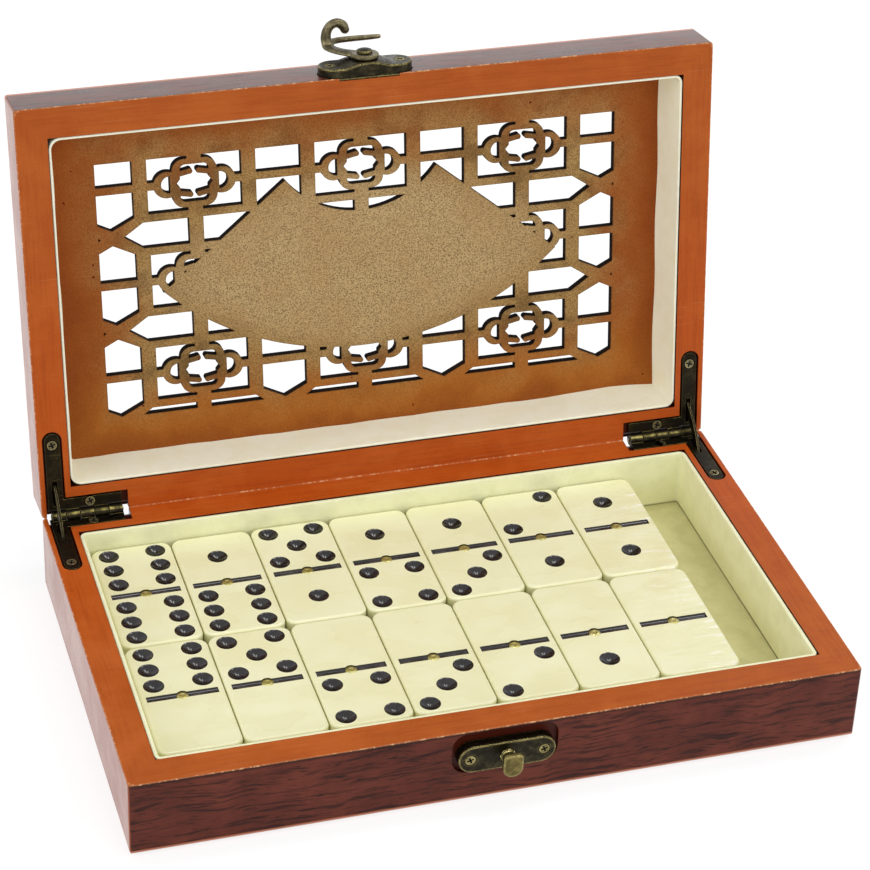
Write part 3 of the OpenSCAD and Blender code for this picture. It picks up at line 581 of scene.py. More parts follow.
@dataclass(frozen=True)
class PaperFinish:
    """Lining paper with a faint laid grain, soft grime, and painted shade along the crease at the
    floor.
    """

    name: str
    place: Place
    cream: Colour = paint(249, 248, 208)
    shade: Colour = paint(238, 237, 192)
    dirt_and_shade: Colour = paint(198, 194, 146)
    crease: float = 0.8
    crease_shade: Colour = paint(120, 112, 66)

    def material(self) -> bpy.types.Material:
        """Builds the material."""
        graph = MaterialGraph(self.name, Specular_IOR_Level=0.3)
        position, _ = graph.place(self.place)
        grains, clouds = graph.group(Effect.SPECKLE, Position=position, Grain=0.5)
        laid = graph.noise(graph.scaled(position, (0.25, 0.25, 3.0)), 1.0, 3.0, 0.6)
        colour = graph.mix(graph.ramp(clouds, 0.2, 1.0, 0.0, 0.55), self.cream, self.shade)
        colour = graph.mix(graph.ramp(laid, 0.52, 0.75, 0.0, 0.35), colour, self.shade)
        specks = graph.ramp(graph.noise(position, 1.6, 2.0, 0.5), 0.7, 0.78, 0.0, 0.5)
        colour = graph.mix(specks, colour, self.dirt_and_shade)
        # Painted shade: darker towards the crease where the paper meets the floor.
        if self.crease:
            z = graph.parts(position)[2]
            low = graph.ramp(z, FLOOR_Z + self.crease, FLOOR_Z + 0.2, 0.0, 0.75)
            colour = graph.mix(low, colour, self.crease_shade)
        rough = graph.ramp(grains, 0.0, 1.0, 0.5, 0.62)
        return graph.finished(colour, rough, graph.plus(grains, laid), 0.06)


@dataclass(frozen=True)
class RawBoardFinish:
    """Plain fibreboard underneath, with rubbed and dusty patches."""

    brown: Colour = paint(150, 112, 78)
    dark: Colour = paint(112, 80, 54)
    dust: Colour = paint(176, 138, 100)
    scratch: Colour = paint(205, 178, 140)

    def material(self) -> bpy.types.Material:
        """Builds the material."""
        graph = MaterialGraph("raw_fibreboard", Specular_IOR_Level=0.3)
        position, _ = graph.place(Place.BASE)
        grains, clouds = graph.group(Effect.SPECKLE, Position=position, Grain=0.4)
        scratches = graph.group(Effect.SCRATCHES, Position=position, Length=30.0)[0]
        colour = graph.mix(grains, self.dark, self.brown)
        colour = graph.mix(graph.ramp(clouds, 0.0, 1.0, 0.0, 0.4), colour, self.dust)
        colour = graph.mix(graph.times(scratches, 0.4), colour, self.scratch)
        return graph.finished(colour, graph.ramp(clouds, 0.0, 1.0, 0.6, 0.75), grains, 0.05)


@dataclass(frozen=True)
class ResinFinish:
    """Polished ivory resin with pearly strokes; painted shade makes the sides darker and greener.

    Its wrapping creases towards the right, with painted glints and painted shade in the creases.
    """

    ivory: Colour = paint(243, 241, 198)
    warm: Colour = paint(240, 237, 191)
    pearl: Colour = paint(246, 244, 207)
    side: Colour = paint(228, 226, 174)
    film_and_glint: Colour = paint(254, 253, 238)

    def material(self) -> bpy.types.Material:
        """Builds the material."""
        graph = MaterialGraph("ivory_resin", Coat_Weight=0.3, Coat_Roughness=0.06)
        position, normal = graph.place(Place.BASE)
        x = graph.parts(position)[0]
        clouds = graph.noise(position, 0.045, 3.0, 0.55)
        strokes = graph.scaled(position, (0.06, 0.11, 0.2), (0.0, 0.0, 0.9))
        strokes = graph.noise(strokes, 1.0, 2.0, 0.4)
        colour = graph.mix(graph.ramp(clouds, 0.35, 0.65), self.ivory, self.warm)
        colour = graph.mix(graph.ramp(strokes, 0.42, 0.72, 0.0, 0.6), colour, self.pearl)
        # Painted shade: upright faces turn darker and greener.
        upright = graph.ramp(graph.unsigned(graph.parts(normal)[2]), 0.95, 0.2)
        colour = graph.mix(graph.times(upright, 0.6), colour, self.side)

        film_and_glint = graph.scaled(position, (0.12, 0.3, 0.2), (0.0, 0.0, 1.0))
        film_and_glint = graph.noise(film_and_glint, 1.0, 3.0, 0.5)
        creased = graph.ramp(x, 20.0, 80.0, 0.06, 1.0)
        glints = graph.scaled(position, (0.16, 0.8, 0.3), (0.0, 0.0, 0.55))
        glints = graph.noise(glints, 1.0, 4.0, 0.6)
        # Painted glints on the wrapping towards the right: near-white streaks, and painted shade in
        # its creases.
        wrapped = graph.times(creased, graph.ramp(x, 45.0, 84.0))
        bright = graph.times(wrapped, graph.ramp(glints, 0.55, 0.66))
        colour = graph.mix(bright, colour, self.film_and_glint)
        shade = graph.times(wrapped, graph.ramp(glints, 0.46, 0.36, 0.0, 0.5))
        colour = graph.mix(shade, colour, self.side)
        rough = graph.ramp(strokes, 0.4, 0.62, 0.2, 0.4)
        return graph.finished(colour, rough, graph.times(film_and_glint, creased), 0.6)


@dataclass(frozen=True)
class InkFinish:
    """Glossy black enamel in the spots and grooves, thinner in places."""

    name: str = "spot_enamel"
    ink: Colour = paint(16, 12, 13)
    thin_and_sheen: Colour = paint(40, 33, 35)
    fleck: Colour = paint(64, 58, 58)

    def material(self) -> bpy.types.Material:
        """Builds the material."""
        graph = MaterialGraph(self.name)
        position, _ = graph.place(Place.BASE)
        grains = graph.group(Effect.SPECKLE, Position=position, Grain=0.35)[0]
        uneven = graph.ramp(graph.noise(position, 0.3, 2.0, 0.5), 0.42, 0.7, 0.0, 0.8)
        colour = graph.mix(uneven, self.ink, self.thin_and_sheen)
        colour = graph.mix(graph.times(grains, 0.2), colour, self.fleck)
        rough = graph.ramp(grains, 0.0, 1.0, 0.07, 0.14)
        return graph.finished(colour, rough, grains, 0.01, 0.15)


@dataclass(frozen=True)
class BrassFinish:
    """Antique brass: a dark patina that is worn through to bright metal on the edges.

    Screws are the middles of dark rings of painted shade round the screw heads: along X and Z on
    upright plates, and along X and Y, on both sides of the box, on the hinge leaves. A painted
    highlight can run along the knuckles.
    """

    name: str
    patina: Colour = paint(46, 41, 27)
    worn: Colour = paint(214, 198, 126)
    cloud: Colour = paint(78, 70, 44)
    place: Place = Place.BASE
    edge_radius: float = 0.35
    wear: float = 0.9
    roughness: float = 0.34
    crest_highlight: bool = False
    screws: tuple[tuple[float, float], ...] = ()
    upright_rings: bool = False
    ring_r: float = 1.6
    grime: Colour = paint(20, 16, 11)
    painted_highlight: Colour = paint(170, 156, 88)
    gap_shade: Colour = paint(12, 9, 6)

    def material(self) -> bpy.types.Material:
        """Builds the material."""
        graph = MaterialGraph(self.name, Metallic=0.9)
        position, _ = graph.place(self.place)
        grains = graph.group(Effect.SPECKLE, Position=position, Grain=0.16)[0]
        clouds = graph.ramp(graph.noise(position, 0.35, 4.0, 0.65), 0.38, 0.7)
        colour = graph.mix(clouds, self.patina, self.cloud)
        colour = graph.mix(graph.times(grains, 0.35), colour, self.grime)
        radius = self.edge_radius * MM
        edge = graph.group(Effect.EDGE_WEAR, Position=position, Radius=radius, Breakup=0.8)[0]
        colour = graph.mix(graph.times(edge, self.wear), colour, self.worn)
        # Painted highlight: a bright band along the barrel, facing up and forwards in the open
        # pose.
        if self.crest_highlight:
            facing = graph.add("TexCoord").outputs["Normal"]
            toward = graph.vector("DOT_PRODUCT", facing, (0.0, -0.65, 0.76)).outputs["Value"]
            patchy = graph.ramp(clouds, 0.0, 1.0, 0.15, 0.9)
            crest_highlight = graph.times(graph.ramp(toward, 0.965, 0.998), patchy)
            colour = graph.mix(crest_highlight, colour, self.painted_highlight)
        if self.screws:
            x, y, z = graph.parts(position)
            across = (x, z) if self.upright_rings else (graph.unsigned(x), y)
            flat = graph.add("CombineXYZ", X=across[0], Y=across[1]).outputs[0]
        # Painted shade: a dark ring round each screw head, where it meets the plate.
        for u, v in self.screws:
            spot = {"Centre": (u, v, 0.0), "Radius": self.ring_r, "Width": 0.3}
            ring = graph.group(Effect.RING, Position=flat, **spot)[0]
            colour = graph.mix(graph.times(ring, 0.9), colour, self.gap_shade)
        scratches = graph.group(Effect.SCRATCHES, Position=position, Length=9.0)[0]
        colour = graph.mix(graph.times(scratches, 0.3), colour, self.worn)
        rough = graph.ramp(clouds, 0.0, 1.0, self.roughness + 0.1, self.roughness - 0.08)
        return graph.finished(colour, rough, grains, 0.03, 0.4)


@dataclass(frozen=True)
class RecessFinish:
    """Black in the crosses of the screws: painted shade, flecked with dust."""

    dirt_and_shade: Colour = paint(8, 6, 5)
    dust: Colour = paint(26, 21, 14)

    def material(self) -> bpy.types.Material:
        """Builds the material."""
        graph = MaterialGraph("screw_recess", Metallic=0.2)
        position, _ = graph.place(Place.BASE)
        grains, clouds = graph.group(Effect.SPECKLE, Position=position, Grain=0.12)
        rough = graph.ramp(clouds, 0.0, 1.0, 0.55, 0.8)
        return graph.finished(graph.mix(grains, self.dirt_and_shade, self.dust), rough)


# ---- surfaces ----


def linked(name: str, data: bpy.types.ID) -> bpy.types.Object:
    """Makes an object of a mesh, a lamp or a camera and puts it in the scene.

    Args:
        name: The object's name.
        data: What it shows.

    Returns:
        The object.
    """
    made = bpy.data.objects.new(name, data)
    bpy.context.scene.collection.objects.link(made)
    return made


def shade_smooth(mesh: bpy.types.Mesh) -> None:
    """Shades every face of a mesh smoothly."""
    mesh.polygons.foreach_set("use_smooth", np.ones(len(mesh.polygons), bool))


class Surface:
    """Gathers grids and flat sheets, and makes one closed mesh of them."""

    def __init__(self) -> None:
        """Starts with nothing."""
        self.points: list[np.ndarray] = []
        self.faces: list[list[int]] = []
        self.slots: list[int] = []
        self.count = 0

    def sheet(self, points: np.ndarray, faces: np.ndarray, slot: int = 0) -> None:
        """Adds points and the faces between them.

        Args:
            points: Rows of points, in millimetres.
            faces: Rows of point numbers, counted from nought within these points.
            slot: Material slot of the faces.
        """
        self.points.append(points.reshape(-1, 3))
        rows = (faces + self.count).tolist()
        self.faces += rows
        self.slots += [slot] * len(rows)
        self.count += len(self.points[-1])

    def grid(
        self, points: np.ndarray, wrap_rows: bool = False, wrap_columns: bool = True, slot: int = 0
    ) -> None:
        """Adds a grid of quads.

        Args:
            points: Rows x columns x 3, in millimetres.
            wrap_rows: Joins the last row to the first.
            wrap_columns: Joins the last column to the first.
            slot: Material slot of its faces.
        """
        rows, columns = points.shape[:2]
        index = np.arange(rows * columns).reshape(rows, columns)
        if wrap_rows:
            index = np.vstack([index, index[:1]])
        if wrap_columns:
            index = np.hstack([index, index[:, :1]])
        quads = np.stack([index[:-1, :-1], index[:-1, 1:], index[1:, 1:], index[1:, :-1]], -1)
        self.sheet(points, quads.reshape(-1, 4), slot)

    def cap(self, loop: np.ndarray, slot: int = 0) -> None:
        """Closes a loop of points with one flat face."""
        self.sheet(loop, np.arange(len(loop))[None, :], slot)

    def piece(self, name: str, smooth_angle: float = 35.0) -> bpy.types.Object:
        """Makes the object: doubles are merged and every face is turned outwards.

        Args:
            name: The piece's name.
            smooth_angle: Edges sharper than this many degrees stay sharp.

        Returns:
            The object, in metres, at the origin.
        """
        mesh = bpy.data.meshes.new(name)
        mesh.from_pydata((np.concatenate(self.points) * MM).tolist(), [], self.faces)
        mesh.polygons.foreach_set("material_index", np.array(self.slots, np.int32))
        shell = bmesh.new()
        shell.from_mesh(mesh)
        bmesh.ops.remove_doubles(shell, verts=shell.verts, dist=MERGE)
        bmesh.ops.recalc_face_normals(shell, faces=shell.faces)
        shell.to_mesh(mesh)
        shell.free()
        shade_smooth(mesh)
        mesh.set_sharp_from_angle(angle=math.radians(smooth_angle))
        return linked(name, mesh)


def loop_frame(
    width: float, depth: float, radius: float | Sequence[float], arc_steps: int, side_steps: int
) -> tuple[np.ndarray, np.ndarray, np.ndarray]:
    """Walks round a rounded rectangle.

    A point of the outline is centre + radius * direction, and a parallel outline comes from
    adding a step to the radius. Along a side, centre and radius both go in a straight line from
    one corner's to the next one's, which keeps the side straight.

    Args:
        width: Full width of the outline.
        depth: Full depth of the outline.
        radius: Radius of its corners, or one each for +X+Y, -X+Y, -X-Y and +X-Y.
        arc_steps: Steps round each corner.
        side_steps: Steps along each side.

    Returns:
        Centres and directions, each N x 2, and radii, N.
    """
    radii = np.broadcast_to(np.asarray(radius, float), 4)[:, None]
    corners = np.array([[1, 1], [-1, 1], [-1, -1], [1, -1]]) * ((width / 2, depth / 2) - radii)
    angle = (np.arange(4)[:, None] + np.linspace(0, 1, arc_steps + 1)) * math.pi / 2
    around = np.stack([np.cos(angle), np.sin(angle)], -1)
    share = np.linspace(0, 1, side_steps + 1)[1:-1][None, :, None]
    along = corners[:, None] * (1 - share) + np.roll(corners, -1, 0)[:, None] * share
    between = radii * (1 - share[..., 0]) + np.roll(radii, -1, 0) * share[..., 0]
    centres = np.concatenate([np.broadcast_to(corners[:, None], around.shape), along], 1)
    directions = np.concatenate([around, np.broadcast_to(around[:, -1:], along.shape)], 1)
    reach = np.concatenate([np.broadcast_to(radii, around.shape[:2]), between], 1)
    return centres.reshape(-1, 2), directions.reshape(-1, 2), reach.reshape(-1)


def lifted(flat: np.ndarray, z: np.ndarray | float) -> np.ndarray:
    """Adds a height to points in the plane."""
    height = np.broadcast_to(np.asarray(z, float), flat.shape[:-1])
    return np.concatenate([flat, height[..., None]], -1)


def circle(radius: float, count: int) -> np.ndarray:
    """Returns count points round a circle about the origin, N x 2."""
    angle = np.arange(count) * 2 * math.pi / count
    return radius * np.stack([np.cos(angle), np.sin(angle)], -1)


def spline(knots: Sequence[Sequence[float]], steps: int) -> np.ndarray:
    """Draws a smooth line through knots: a Catmull-Rom cubic between each pair.

    Args:
        knots: Rows of numbers, such as a point and its radii.
        steps: Steps between two knots.

    Returns:
        The rows along the line.
    """
    given = np.asarray(knots, float)
    ends = np.vstack([2 * given[0] - given[1], given, 2 * given[-1] - given[-2]])
    t = np.linspace(0, 1, steps, endpoint=False)[None, :, None]
    a, b, c, d = (ends[i : len(ends) - 3 + i, None] for i in range(4))
    square, cube = 2 * a - 5 * b + 4 * c - d, 3 * b - a - 3 * c + d
    line = 0.5 * (2 * b + (c - a) * t + square * t**2 + cube * t**3)
    return np.vstack([line.reshape(-1, given.shape[1]), given[-1:]])


def swept(
    path: np.ndarray, across: Sequence[float], radii: np.ndarray, count: int = 24
) -> np.ndarray:
    """Carries an ellipse along a path; it closes to a point in a half round at each end.

    Args:
        path: Points, N x 3.
        across: Direction of the ellipse's second axis.
        radii: Radius in the plane of the path and along across, N x 2.
        count: Points round the ellipse.

    Returns:
        A grid of (N + 8) x count x 3 points.
    """
    tangent = np.gradient(path, axis=0)
    tangent /= np.linalg.norm(tangent, axis=1, keepdims=True)
    second = np.broadcast_to(np.asarray(across, float), path.shape)
    first = np.cross(tangent, second)
    first /= np.linalg.norm(first, axis=1, keepdims=True)
    second = np.cross(first, tangent)
    caps = 4
    turn = np.linspace(90.0, 22.5, caps) * math.pi / 180
    c, s = np.cos(turn)[:, None], np.sin(turn)[:, None]
    head = path[0] - radii[0].min() * s * tangent[0]
    tail = path[-1] + radii[-1].min() * s * tangent[-1]
    line = np.vstack([head, path, tail[::-1]])
    size = np.vstack([radii[0] * c, radii, (radii[-1] * c)[::-1]])
    first, second = (
        np.vstack([v[:1]] * caps + [v] + [v[-1:]] * caps)[:, None] for v in (first, second)
    )
    around = circle(1.0, count)[None]
    ring = size[:, None, :1] * around[..., :1] * first
    return line[:, None] + ring + size[:, None, 1:] * around[..., 1:] * second


# ---- pieces from the frame ----


def dress(piece: bpy.types.Object, *materials: bpy.types.Material) -> None:
    """Gives a piece its materials.

    Args:
        piece: The piece.
        materials: One material for each slot.
    """
    while len(piece.material_slots) < len(materials):
        piece.data.materials.append(None)
    for slot, material in zip(piece.material_slots, materials):
        slot.material = material


def seat(piece: bpy.types.Object, body: str, slot: str, *nodes: str) -> None:
    """Puts a finished piece on its body and hides the nodes that it stands for.

    Args:
        piece: The piece.
        body: The body that carries it.
        slot: Its material slot in the record; not used.
        nodes: Nodes that it replaces.
    """
    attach(piece, body)
    if nodes:
        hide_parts(*nodes)
    log.info("%s rides on %s with %d faces", piece.name, body, len(piece.data.polygons))


def softened(
    node: str, name: str, width: float, segments: int = 2, mitred: bool = False
) -> bpy.types.Object:
    """Copies a node, joins its loose triangles and rounds its sharp edges.

    Args:
        node: The node's name.
        name: The copy's name.
        width: Width of the rounding in millimetres.
        segments: Steps across the rounding.
        mitred: Leaves the edges in the corners' mitre planes and on the hinge axis sharp.

    Returns:
        The copy, with a live Bevel modifier.
    """
    shell = bmesh.new()
    shell.from_mesh(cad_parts[node].data)
    bmesh.ops.remove_doubles(shell, verts=shell.verts, dist=MERGE)
    bmesh.ops.dissolve_limit(shell, angle_limit=FLAT_ANGLE, verts=shell.verts, edges=shell.edges)
    shell.verts.index_update()
    points = np.array([v.co for v in shell.verts])
    mesh = bpy.data.meshes.new(name)
    mesh.from_pydata(points.tolist(), [], [[v.index for v in f.verts] for f in shell.faces])
    shell.free()
    shade_smooth(mesh)
    mesh.set_sharp_from_angle(angle=SHARP_ANGLE)
    sharp = np.zeros(len(mesh.edges), bool)
    mesh.attributes["sharp_edge"].data.foreach_get("value", sharp)
    if mitred:
        closed = points / MM
        if node.startswith("lid"):
            closed = swung(closed, OPEN_ANGLE)
        inset = (HALF_W, HALF_D) - np.abs(closed[:, :2])
        split = np.abs(inset[:, 0] - inset[:, 1]) < 0.03
        hinged = np.linalg.norm(closed[:, 1:] - AXIS[1:], axis=1) < 0.05
        ends = np.zeros(2 * len(mesh.edges), np.int32)
        mesh.edges.foreach_get("vertices", ends)
        ends = ends.reshape(-1, 2)
        sharp &= ~split[ends].all(1) & ~hinged[ends].all(1)
    weight = mesh.attributes.new("bevel_weight_edge", "FLOAT", "EDGE")
    weight.data.foreach_set("value", sharp.astype(np.float32))
    piece = linked(name, mesh)
    bevel = piece.modifiers.new("rounding", "BEVEL")
    bevel.width = width * MM
    bevel.segments = segments
    bevel.limit_method = "WEIGHT"
    bevel.use_clamp_overlap = False
    bevel.harden_normals = True
    return piece


# ---- sub-assemblies ----


@dataclass
class Studio:
    """White sweep, soft lamps and the camera. Distances are metres.

    Each lamp has a name, the place where it hangs, the length of its side and its watts.
    """

    lens: float = 120.08
    sensor: float = 36.0
    near: float = 0.01
    place: tuple[float, float, float] = (-0.213088, -0.645748, 0.520128)
    right: tuple[float, float, float] = (0.957690, -0.285508, 0.036279)
    up: tuple[float, float, float] = (0.126554, 0.530971, 0.837886)
    back: tuple[float, float, float] = (-0.258487, -0.797843, 0.544638)
    lamps: tuple[tuple[str, tuple[float, float, float], float, float], ...] = (
        ("key_left", (0.08, 0.24, 1.36), 0.3, 2.0),
        ("key_right", (0.56, 0.22, 1.22), 0.3, 2.0),
        ("front", (0.55, -1.25, 0.85), 1.1, 5.2),
        ("left", (-1.35, -0.35, 0.70), 0.9, 4.6),
    )
    aim: tuple[float, float, float] = (0.0, 0.02, 0.04)
    daylight: float = 0.66
    floor_half: float = 4.0
    floor_z: float = -0.0002
    floor_matt: Colour = paint(235, 235, 235)
    floor_seen: Colour = paint(150, 150, 150)
    floor_glow: float = 0.78
    white: Colour = (1.0, 1.0, 1.0, 1.0)

    def build(self) -> None:
        """Sets the view, the camera, the lamps, the world and the floor."""
        scene = bpy.context.scene
        scene.view_settings.view_transform = "Standard"
        data = bpy.data.cameras.new("camera")
        data.lens = self.lens
        data.sensor_width = self.sensor
        data.clip_start = self.near
        scene.camera = linked("camera", data)
        self.turn(scene.camera, self.right, self.up, self.back, self.place)
        for lamp in self.lamps:
            self.lamp(*lamp)
        self.world()
        self.floor()

    @staticmethod
    def turn(thing: bpy.types.Object, *columns: Sequence[float]) -> None:
        """Sets an object's matrix from the directions of its X, Y and Z and its place."""
        thing.matrix_world = Matrix(np.vstack([np.array(columns).T, [0, 0, 0, 1]]).tolist())

    def lamp(self, name: str, place: Sequence[float], size: float, power: float) -> None:
        """Hangs a square soft lamp that faces the box.

        Args:
            name: The lamp's name.
            place: Where it hangs.
            size: Length of its side.
            power: Power in watts.
        """
        data = bpy.data.lights.new(name, "AREA")
        data.size = size
        data.energy = power
        away = np.array(place) - self.aim
        away /= np.linalg.norm(away)
        side = np.cross((0.0, 0.0, 1.0), away)
        side /= np.linalg.norm(side)
        self.turn(linked(name, data), side, np.cross(away, side), away, place)

    @staticmethod
    def parted(graph: Graph, unseen: bpy.types.Node, seen: bpy.types.Node) -> Socket:
        """Parts the rays that show the background from those that only light the box.

        Args:
            graph: Graph of the world or of the floor.
            unseen: Shader for rays that only light.
            seen: Shader for rays from the camera, off a gloss or through a glass.

        Returns:
            The joined shader.
        """
        path = graph.add("LightPath").outputs
        shown = graph.larger(path["Is Camera Ray"], path["Is Glossy Ray"])
        shown = graph.larger(shown, path["Is Transmission Ray"])
        mixed = graph.add("MixShader")
        return graph.fill(mixed, shown, unseen.outputs[0], seen.outputs[0]).outputs[0]

    def world(self) -> None:
        """Makes a world that is white to look at and softer as a lamp."""
        world = bpy.data.worlds.new("studio")
        world.use_nodes = True
        graph = Graph(world.node_tree)
        soft = graph.add("Background", Color=self.white, Strength=self.daylight)
        white = graph.add("Background", Color=self.white, Strength=1.0)
        graph.fill(graph.add("OutputWorld"), self.parted(graph, soft, white))
        bpy.context.scene.world = world

    def floor(self) -> None:
        """Lays a pale floor that shows white and keeps the box's shadow."""
        half, z = self.floor_half, self.floor_z
        mesh = bpy.data.meshes.new("floor")
        corners = [(-half, -half, z), (half, -half, z), (half, half, z), (-half, half, z)]
        mesh.from_pydata(corners, [], [(0, 1, 2, 3)])
        floor = linked("floor", mesh)
        material = bpy.data.materials.new("sweep")
        material.use_nodes = True
        graph = Graph(material.node_tree)
        matt = graph.add("BsdfDiffuse", Color=self.floor_matt)
        pale = graph.add("BsdfDiffuse", Color=self.floor_seen)
        glow = graph.add("Emission", Color=self.white, Strength=self.floor_glow)
        lit = graph.fill(graph.add("AddShader"), pale.outputs[0], glow.outputs[0])
        graph.fill(graph.add("OutputMaterial"), self.parted(graph, matt, lit))
        dress(floor, material)


@dataclass
class Boards:
    """The four mitred boards of one half."""

    place: Place
    edge: float = 0.22

    def build(self) -> None:
        """Rounds and finishes each board."""
        material = BoardFinish(self.place).material()
        for side in ("front", "back", "left", "right"):
            node = f"{self.place.body}_{side}_wall"
            piece = softened(node, f"{self.place.body}_{side}_board", self.edge, mitred=True)
            dress(piece, material)
            seat(piece, self.place.body, "foiled_board", node)


@dataclass
class Lining:
    """The folded paper lining of one half.

    Its section is carried round a rounded rectangle. Outward steps are measured from the tray's
    outline, so nought is the tray and 1.4 is the board.
    """

    place: Place
    base_r: float = 0.9
    lid_r: tuple[float, float, float, float] = (1.6, 2.2, 2.4, 1.2)
    outer: float = 1.25
    wave: float = 0.3
    steps: int = 12
    lean: float = 1.35
    lean_run: float = 1.75
    ripple: float = 0.22
    ripple_reach: float = 7.8
    bulge: float = 1.1
    bulge_x: float = 78.0
    bulge_half: float = 13.0

    def base_section(self) -> tuple[np.ndarray, np.ndarray]:
        """Outward step and height of the base lining's section, from the inner foot round."""
        under = np.array([0.38, 0.3, 0.3, 0.4, 0.7])
        foot = FLOOR_Z - 0.3
        z = np.concatenate([np.linspace(foot, RIM_Z - 0.6, self.steps), RIM_Z - under, [foot]])
        rim = [0.1, 0.35, 0.95, 1.18, self.outer, self.outer]
        out = np.concatenate([np.zeros(self.steps), rim])
        return out, z

    def lid_section(self) -> tuple[np.ndarray, np.ndarray]:
        """Outward step and height of the lid lining's section: it leans in towards the panel."""
        over = np.array([0.42, 0.3, 0.3, 0.42, 0.7])
        foot = PANEL_Z - 0.01
        z = np.concatenate([np.linspace(foot, RIM_Z + 0.75, self.steps), RIM_Z + over, [foot]])
        lean = self.lean_run * np.linspace(0, 1, self.steps) ** 0.8 - self.lean
        out = np.concatenate([lean, [0.46, 0.62, 1.0, 1.18, self.outer, self.outer]])
        return out, z

    def build(self) -> None:
        """Builds and finishes the lining.

        A point is centre + (corner radius + step) * direction; the inner face also moves out by a
        slow wave along its length, greatest half way up. Against the panel the lid's lining
        ripples and bulges inwards at the back right.
        """
        base = self.place is Place.BASE
        out, z = self.base_section() if base else self.lid_section()
        corner_r = self.base_r if base else self.lid_r
        centres, directions, radii = loop_frame(TRAY_W, TRAY_D, corner_r, 7, 26)
        x, y = centres[:, 0], centres[:, 1]
        slow = np.sin(x / 17.0 + 1.3 * np.sin(y / 23.0)) * np.cos(y / 19.0 - x / 41.0)
        face = np.where(np.arange(len(z)) <= self.steps, 1.0, 0.0)
        belly = 0.35 * face + 0.65 * face * np.sin((z - z.min()) / np.ptp(z) * math.pi)
        step = out[:, None] + self.wave * belly[:, None] * (0.5 + 0.5 * slow)[None, :]
        if not base:
            near_panel = np.clip((z - PANEL_Z) / self.ripple_reach + 1, 0, 1) * face
            bulge = self.bulge * np.exp(-(((x - self.bulge_x) / self.bulge_half) ** 2))
            bulge *= (y > 0) & (directions[:, 1] > 0.5)
            ripple = self.ripple * np.sin(x / 5.3) * np.sin(x / 8.1 + y / 6.0)
            step = step - near_panel[:, None] * (bulge + ripple + 0.1)[None, :]
        points = lifted(centres[None] + (radii + step)[..., None] * directions[None], z[:, None])
        surface = Surface()
        surface.grid(points if base else swung(points), wrap_rows=True)
        piece = surface.piece(f"{self.place.body}_lining_paper", 50.0)
        if base:
            finish = PaperFinish("base_lining_cream", Place.BASE)
        else:
            warm = paint(255, 253, 232), paint(250, 246, 216), paint(224, 215, 176)
            finish = PaperFinish("lid_lining_cream", Place.LID, *warm, crease=0.0)
        dress(piece, finish.material())
        seat(piece, self.place.body, "cream_paper", f"{self.place.body}_lining")


@dataclass
class Panels:
    """The flat pieces that keep the frame's own shape: fretwork, bottom and floor paper."""

    def build(self) -> None:
        """Finishes the three nodes."""
        # Painted shade: the floor paper's cream is made darker and more olive than the linings',
        # down in the tray.
        olive = paint(216, 212, 158), paint(200, 196, 140), paint(170, 164, 110)
        for name, finish in (
            ("lid_fret_panel", FretFinish()),
            ("base_bottom_panel", RawBoardFinish()),
            ("base_floor_paper", PaperFinish("floor_cream_shaded", Place.BASE, *olive, crease=0.0)),
        ):
            dress(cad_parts[name], finish.material())
            log.info("%s keeps its frame shape", name)


@dataclass
class Hinges:
    """Leaves, pins and stays of both hinges."""

    leaf_edge: float = 0.12
    arm_x: float = 100.5
    arm_screw: float = 23.2
    short_x: float = 90.2
    short_screw: float = 3.65

    def build(self) -> None:
        """Rounds and finishes each metal piece."""
        screws = ((self.arm_x, HALF_D - self.arm_screw), (self.short_x, HALF_D - self.short_screw))
        tones = paint(32, 27, 17), paint(176, 160, 100), paint(52, 46, 29)
        base_leaf, lid_leaf = (
            BrassFinish(
                f"leaf_brass_{place.body}", *tones, place, wear=0.6, crest_highlight=True, screws=screws
            ).material()
            for place in Place
        )
        pin, stay = (
            BrassFinish(name, patina=patina, cloud=cloud).material()
            for name, patina, cloud in (
                ("pin_brass", paint(60, 53, 31), paint(112, 102, 60)),
                ("stay_brass", paint(30, 27, 19), paint(54, 48, 32)),
            )
        )
        for side in Side:
            for part, body, brass in (
                ("base_leaf", "base", base_leaf),
                ("lid_leaf", "lid", lid_leaf),
                ("pin", "base", pin),
                ("stay", f"{side.value}_stay", stay),
            ):
                node = f"{side.value}_hinge_{part}"
                piece = softened(node, node + "_brass", self.leaf_edge)
                dress(piece, brass)
                seat(piece, body, "antique_brass", node)


@dataclass
class Screws:
    """The small cross-headed screws, with black painted shade inside the cross."""

    head_edge: float = 0.09
    dark_from: float = 0.06
    leaf_face: float = 0.3

    def build(self) -> None:
        """Builds all four sets of screws."""
        dark = RecessFinish().material()
        pale, dull = (
            BrassFinish(name, patina=patina, cloud=cloud, edge_radius=0.3).material()
            for name, patina, cloud in (
                ("latch_screw_brass", paint(116, 106, 68), paint(172, 160, 108)),
                ("hinge_screw_brass", paint(84, 78, 60), paint(148, 140, 110)),
            )
        )
        sets = (
            ("base_hinge_screws", Place.BASE, dull, 2, RIM_Z - self.leaf_face, 1.0),
            ("lid_hinge_screws", Place.LID, dull, 2, RIM_Z + self.leaf_face, -1.0),
            ("catch_screws", Place.BASE, pale, 1, LATCH_Y - Latch.catch_face, -1.0),
            ("hook_plate_screws", Place.LID, pale, 1, LATCH_Y - Latch.hook_face, -1.0),
        )
        for node, place, metal, axis, face, out in sets:
            piece = softened(node, node + "_brass", self.head_edge)
            dress(piece, metal, dark)
            centres = np.zeros(3 * len(piece.data.polygons))
            piece.data.polygons.foreach_get("center", centres)
            centres = centres.reshape(-1, 3) / MM
            if place is Place.LID:
                centres = swung(centres, OPEN_ANGLE)
            # Faces deeper than this below the head face get the recess material, painted shade.
            deep = (face - centres[:, axis]) * out > self.dark_from
            piece.data.polygons.foreach_set("material_index", deep.astype(np.int32))
            seat(piece, place.body, "screw_brass", node)


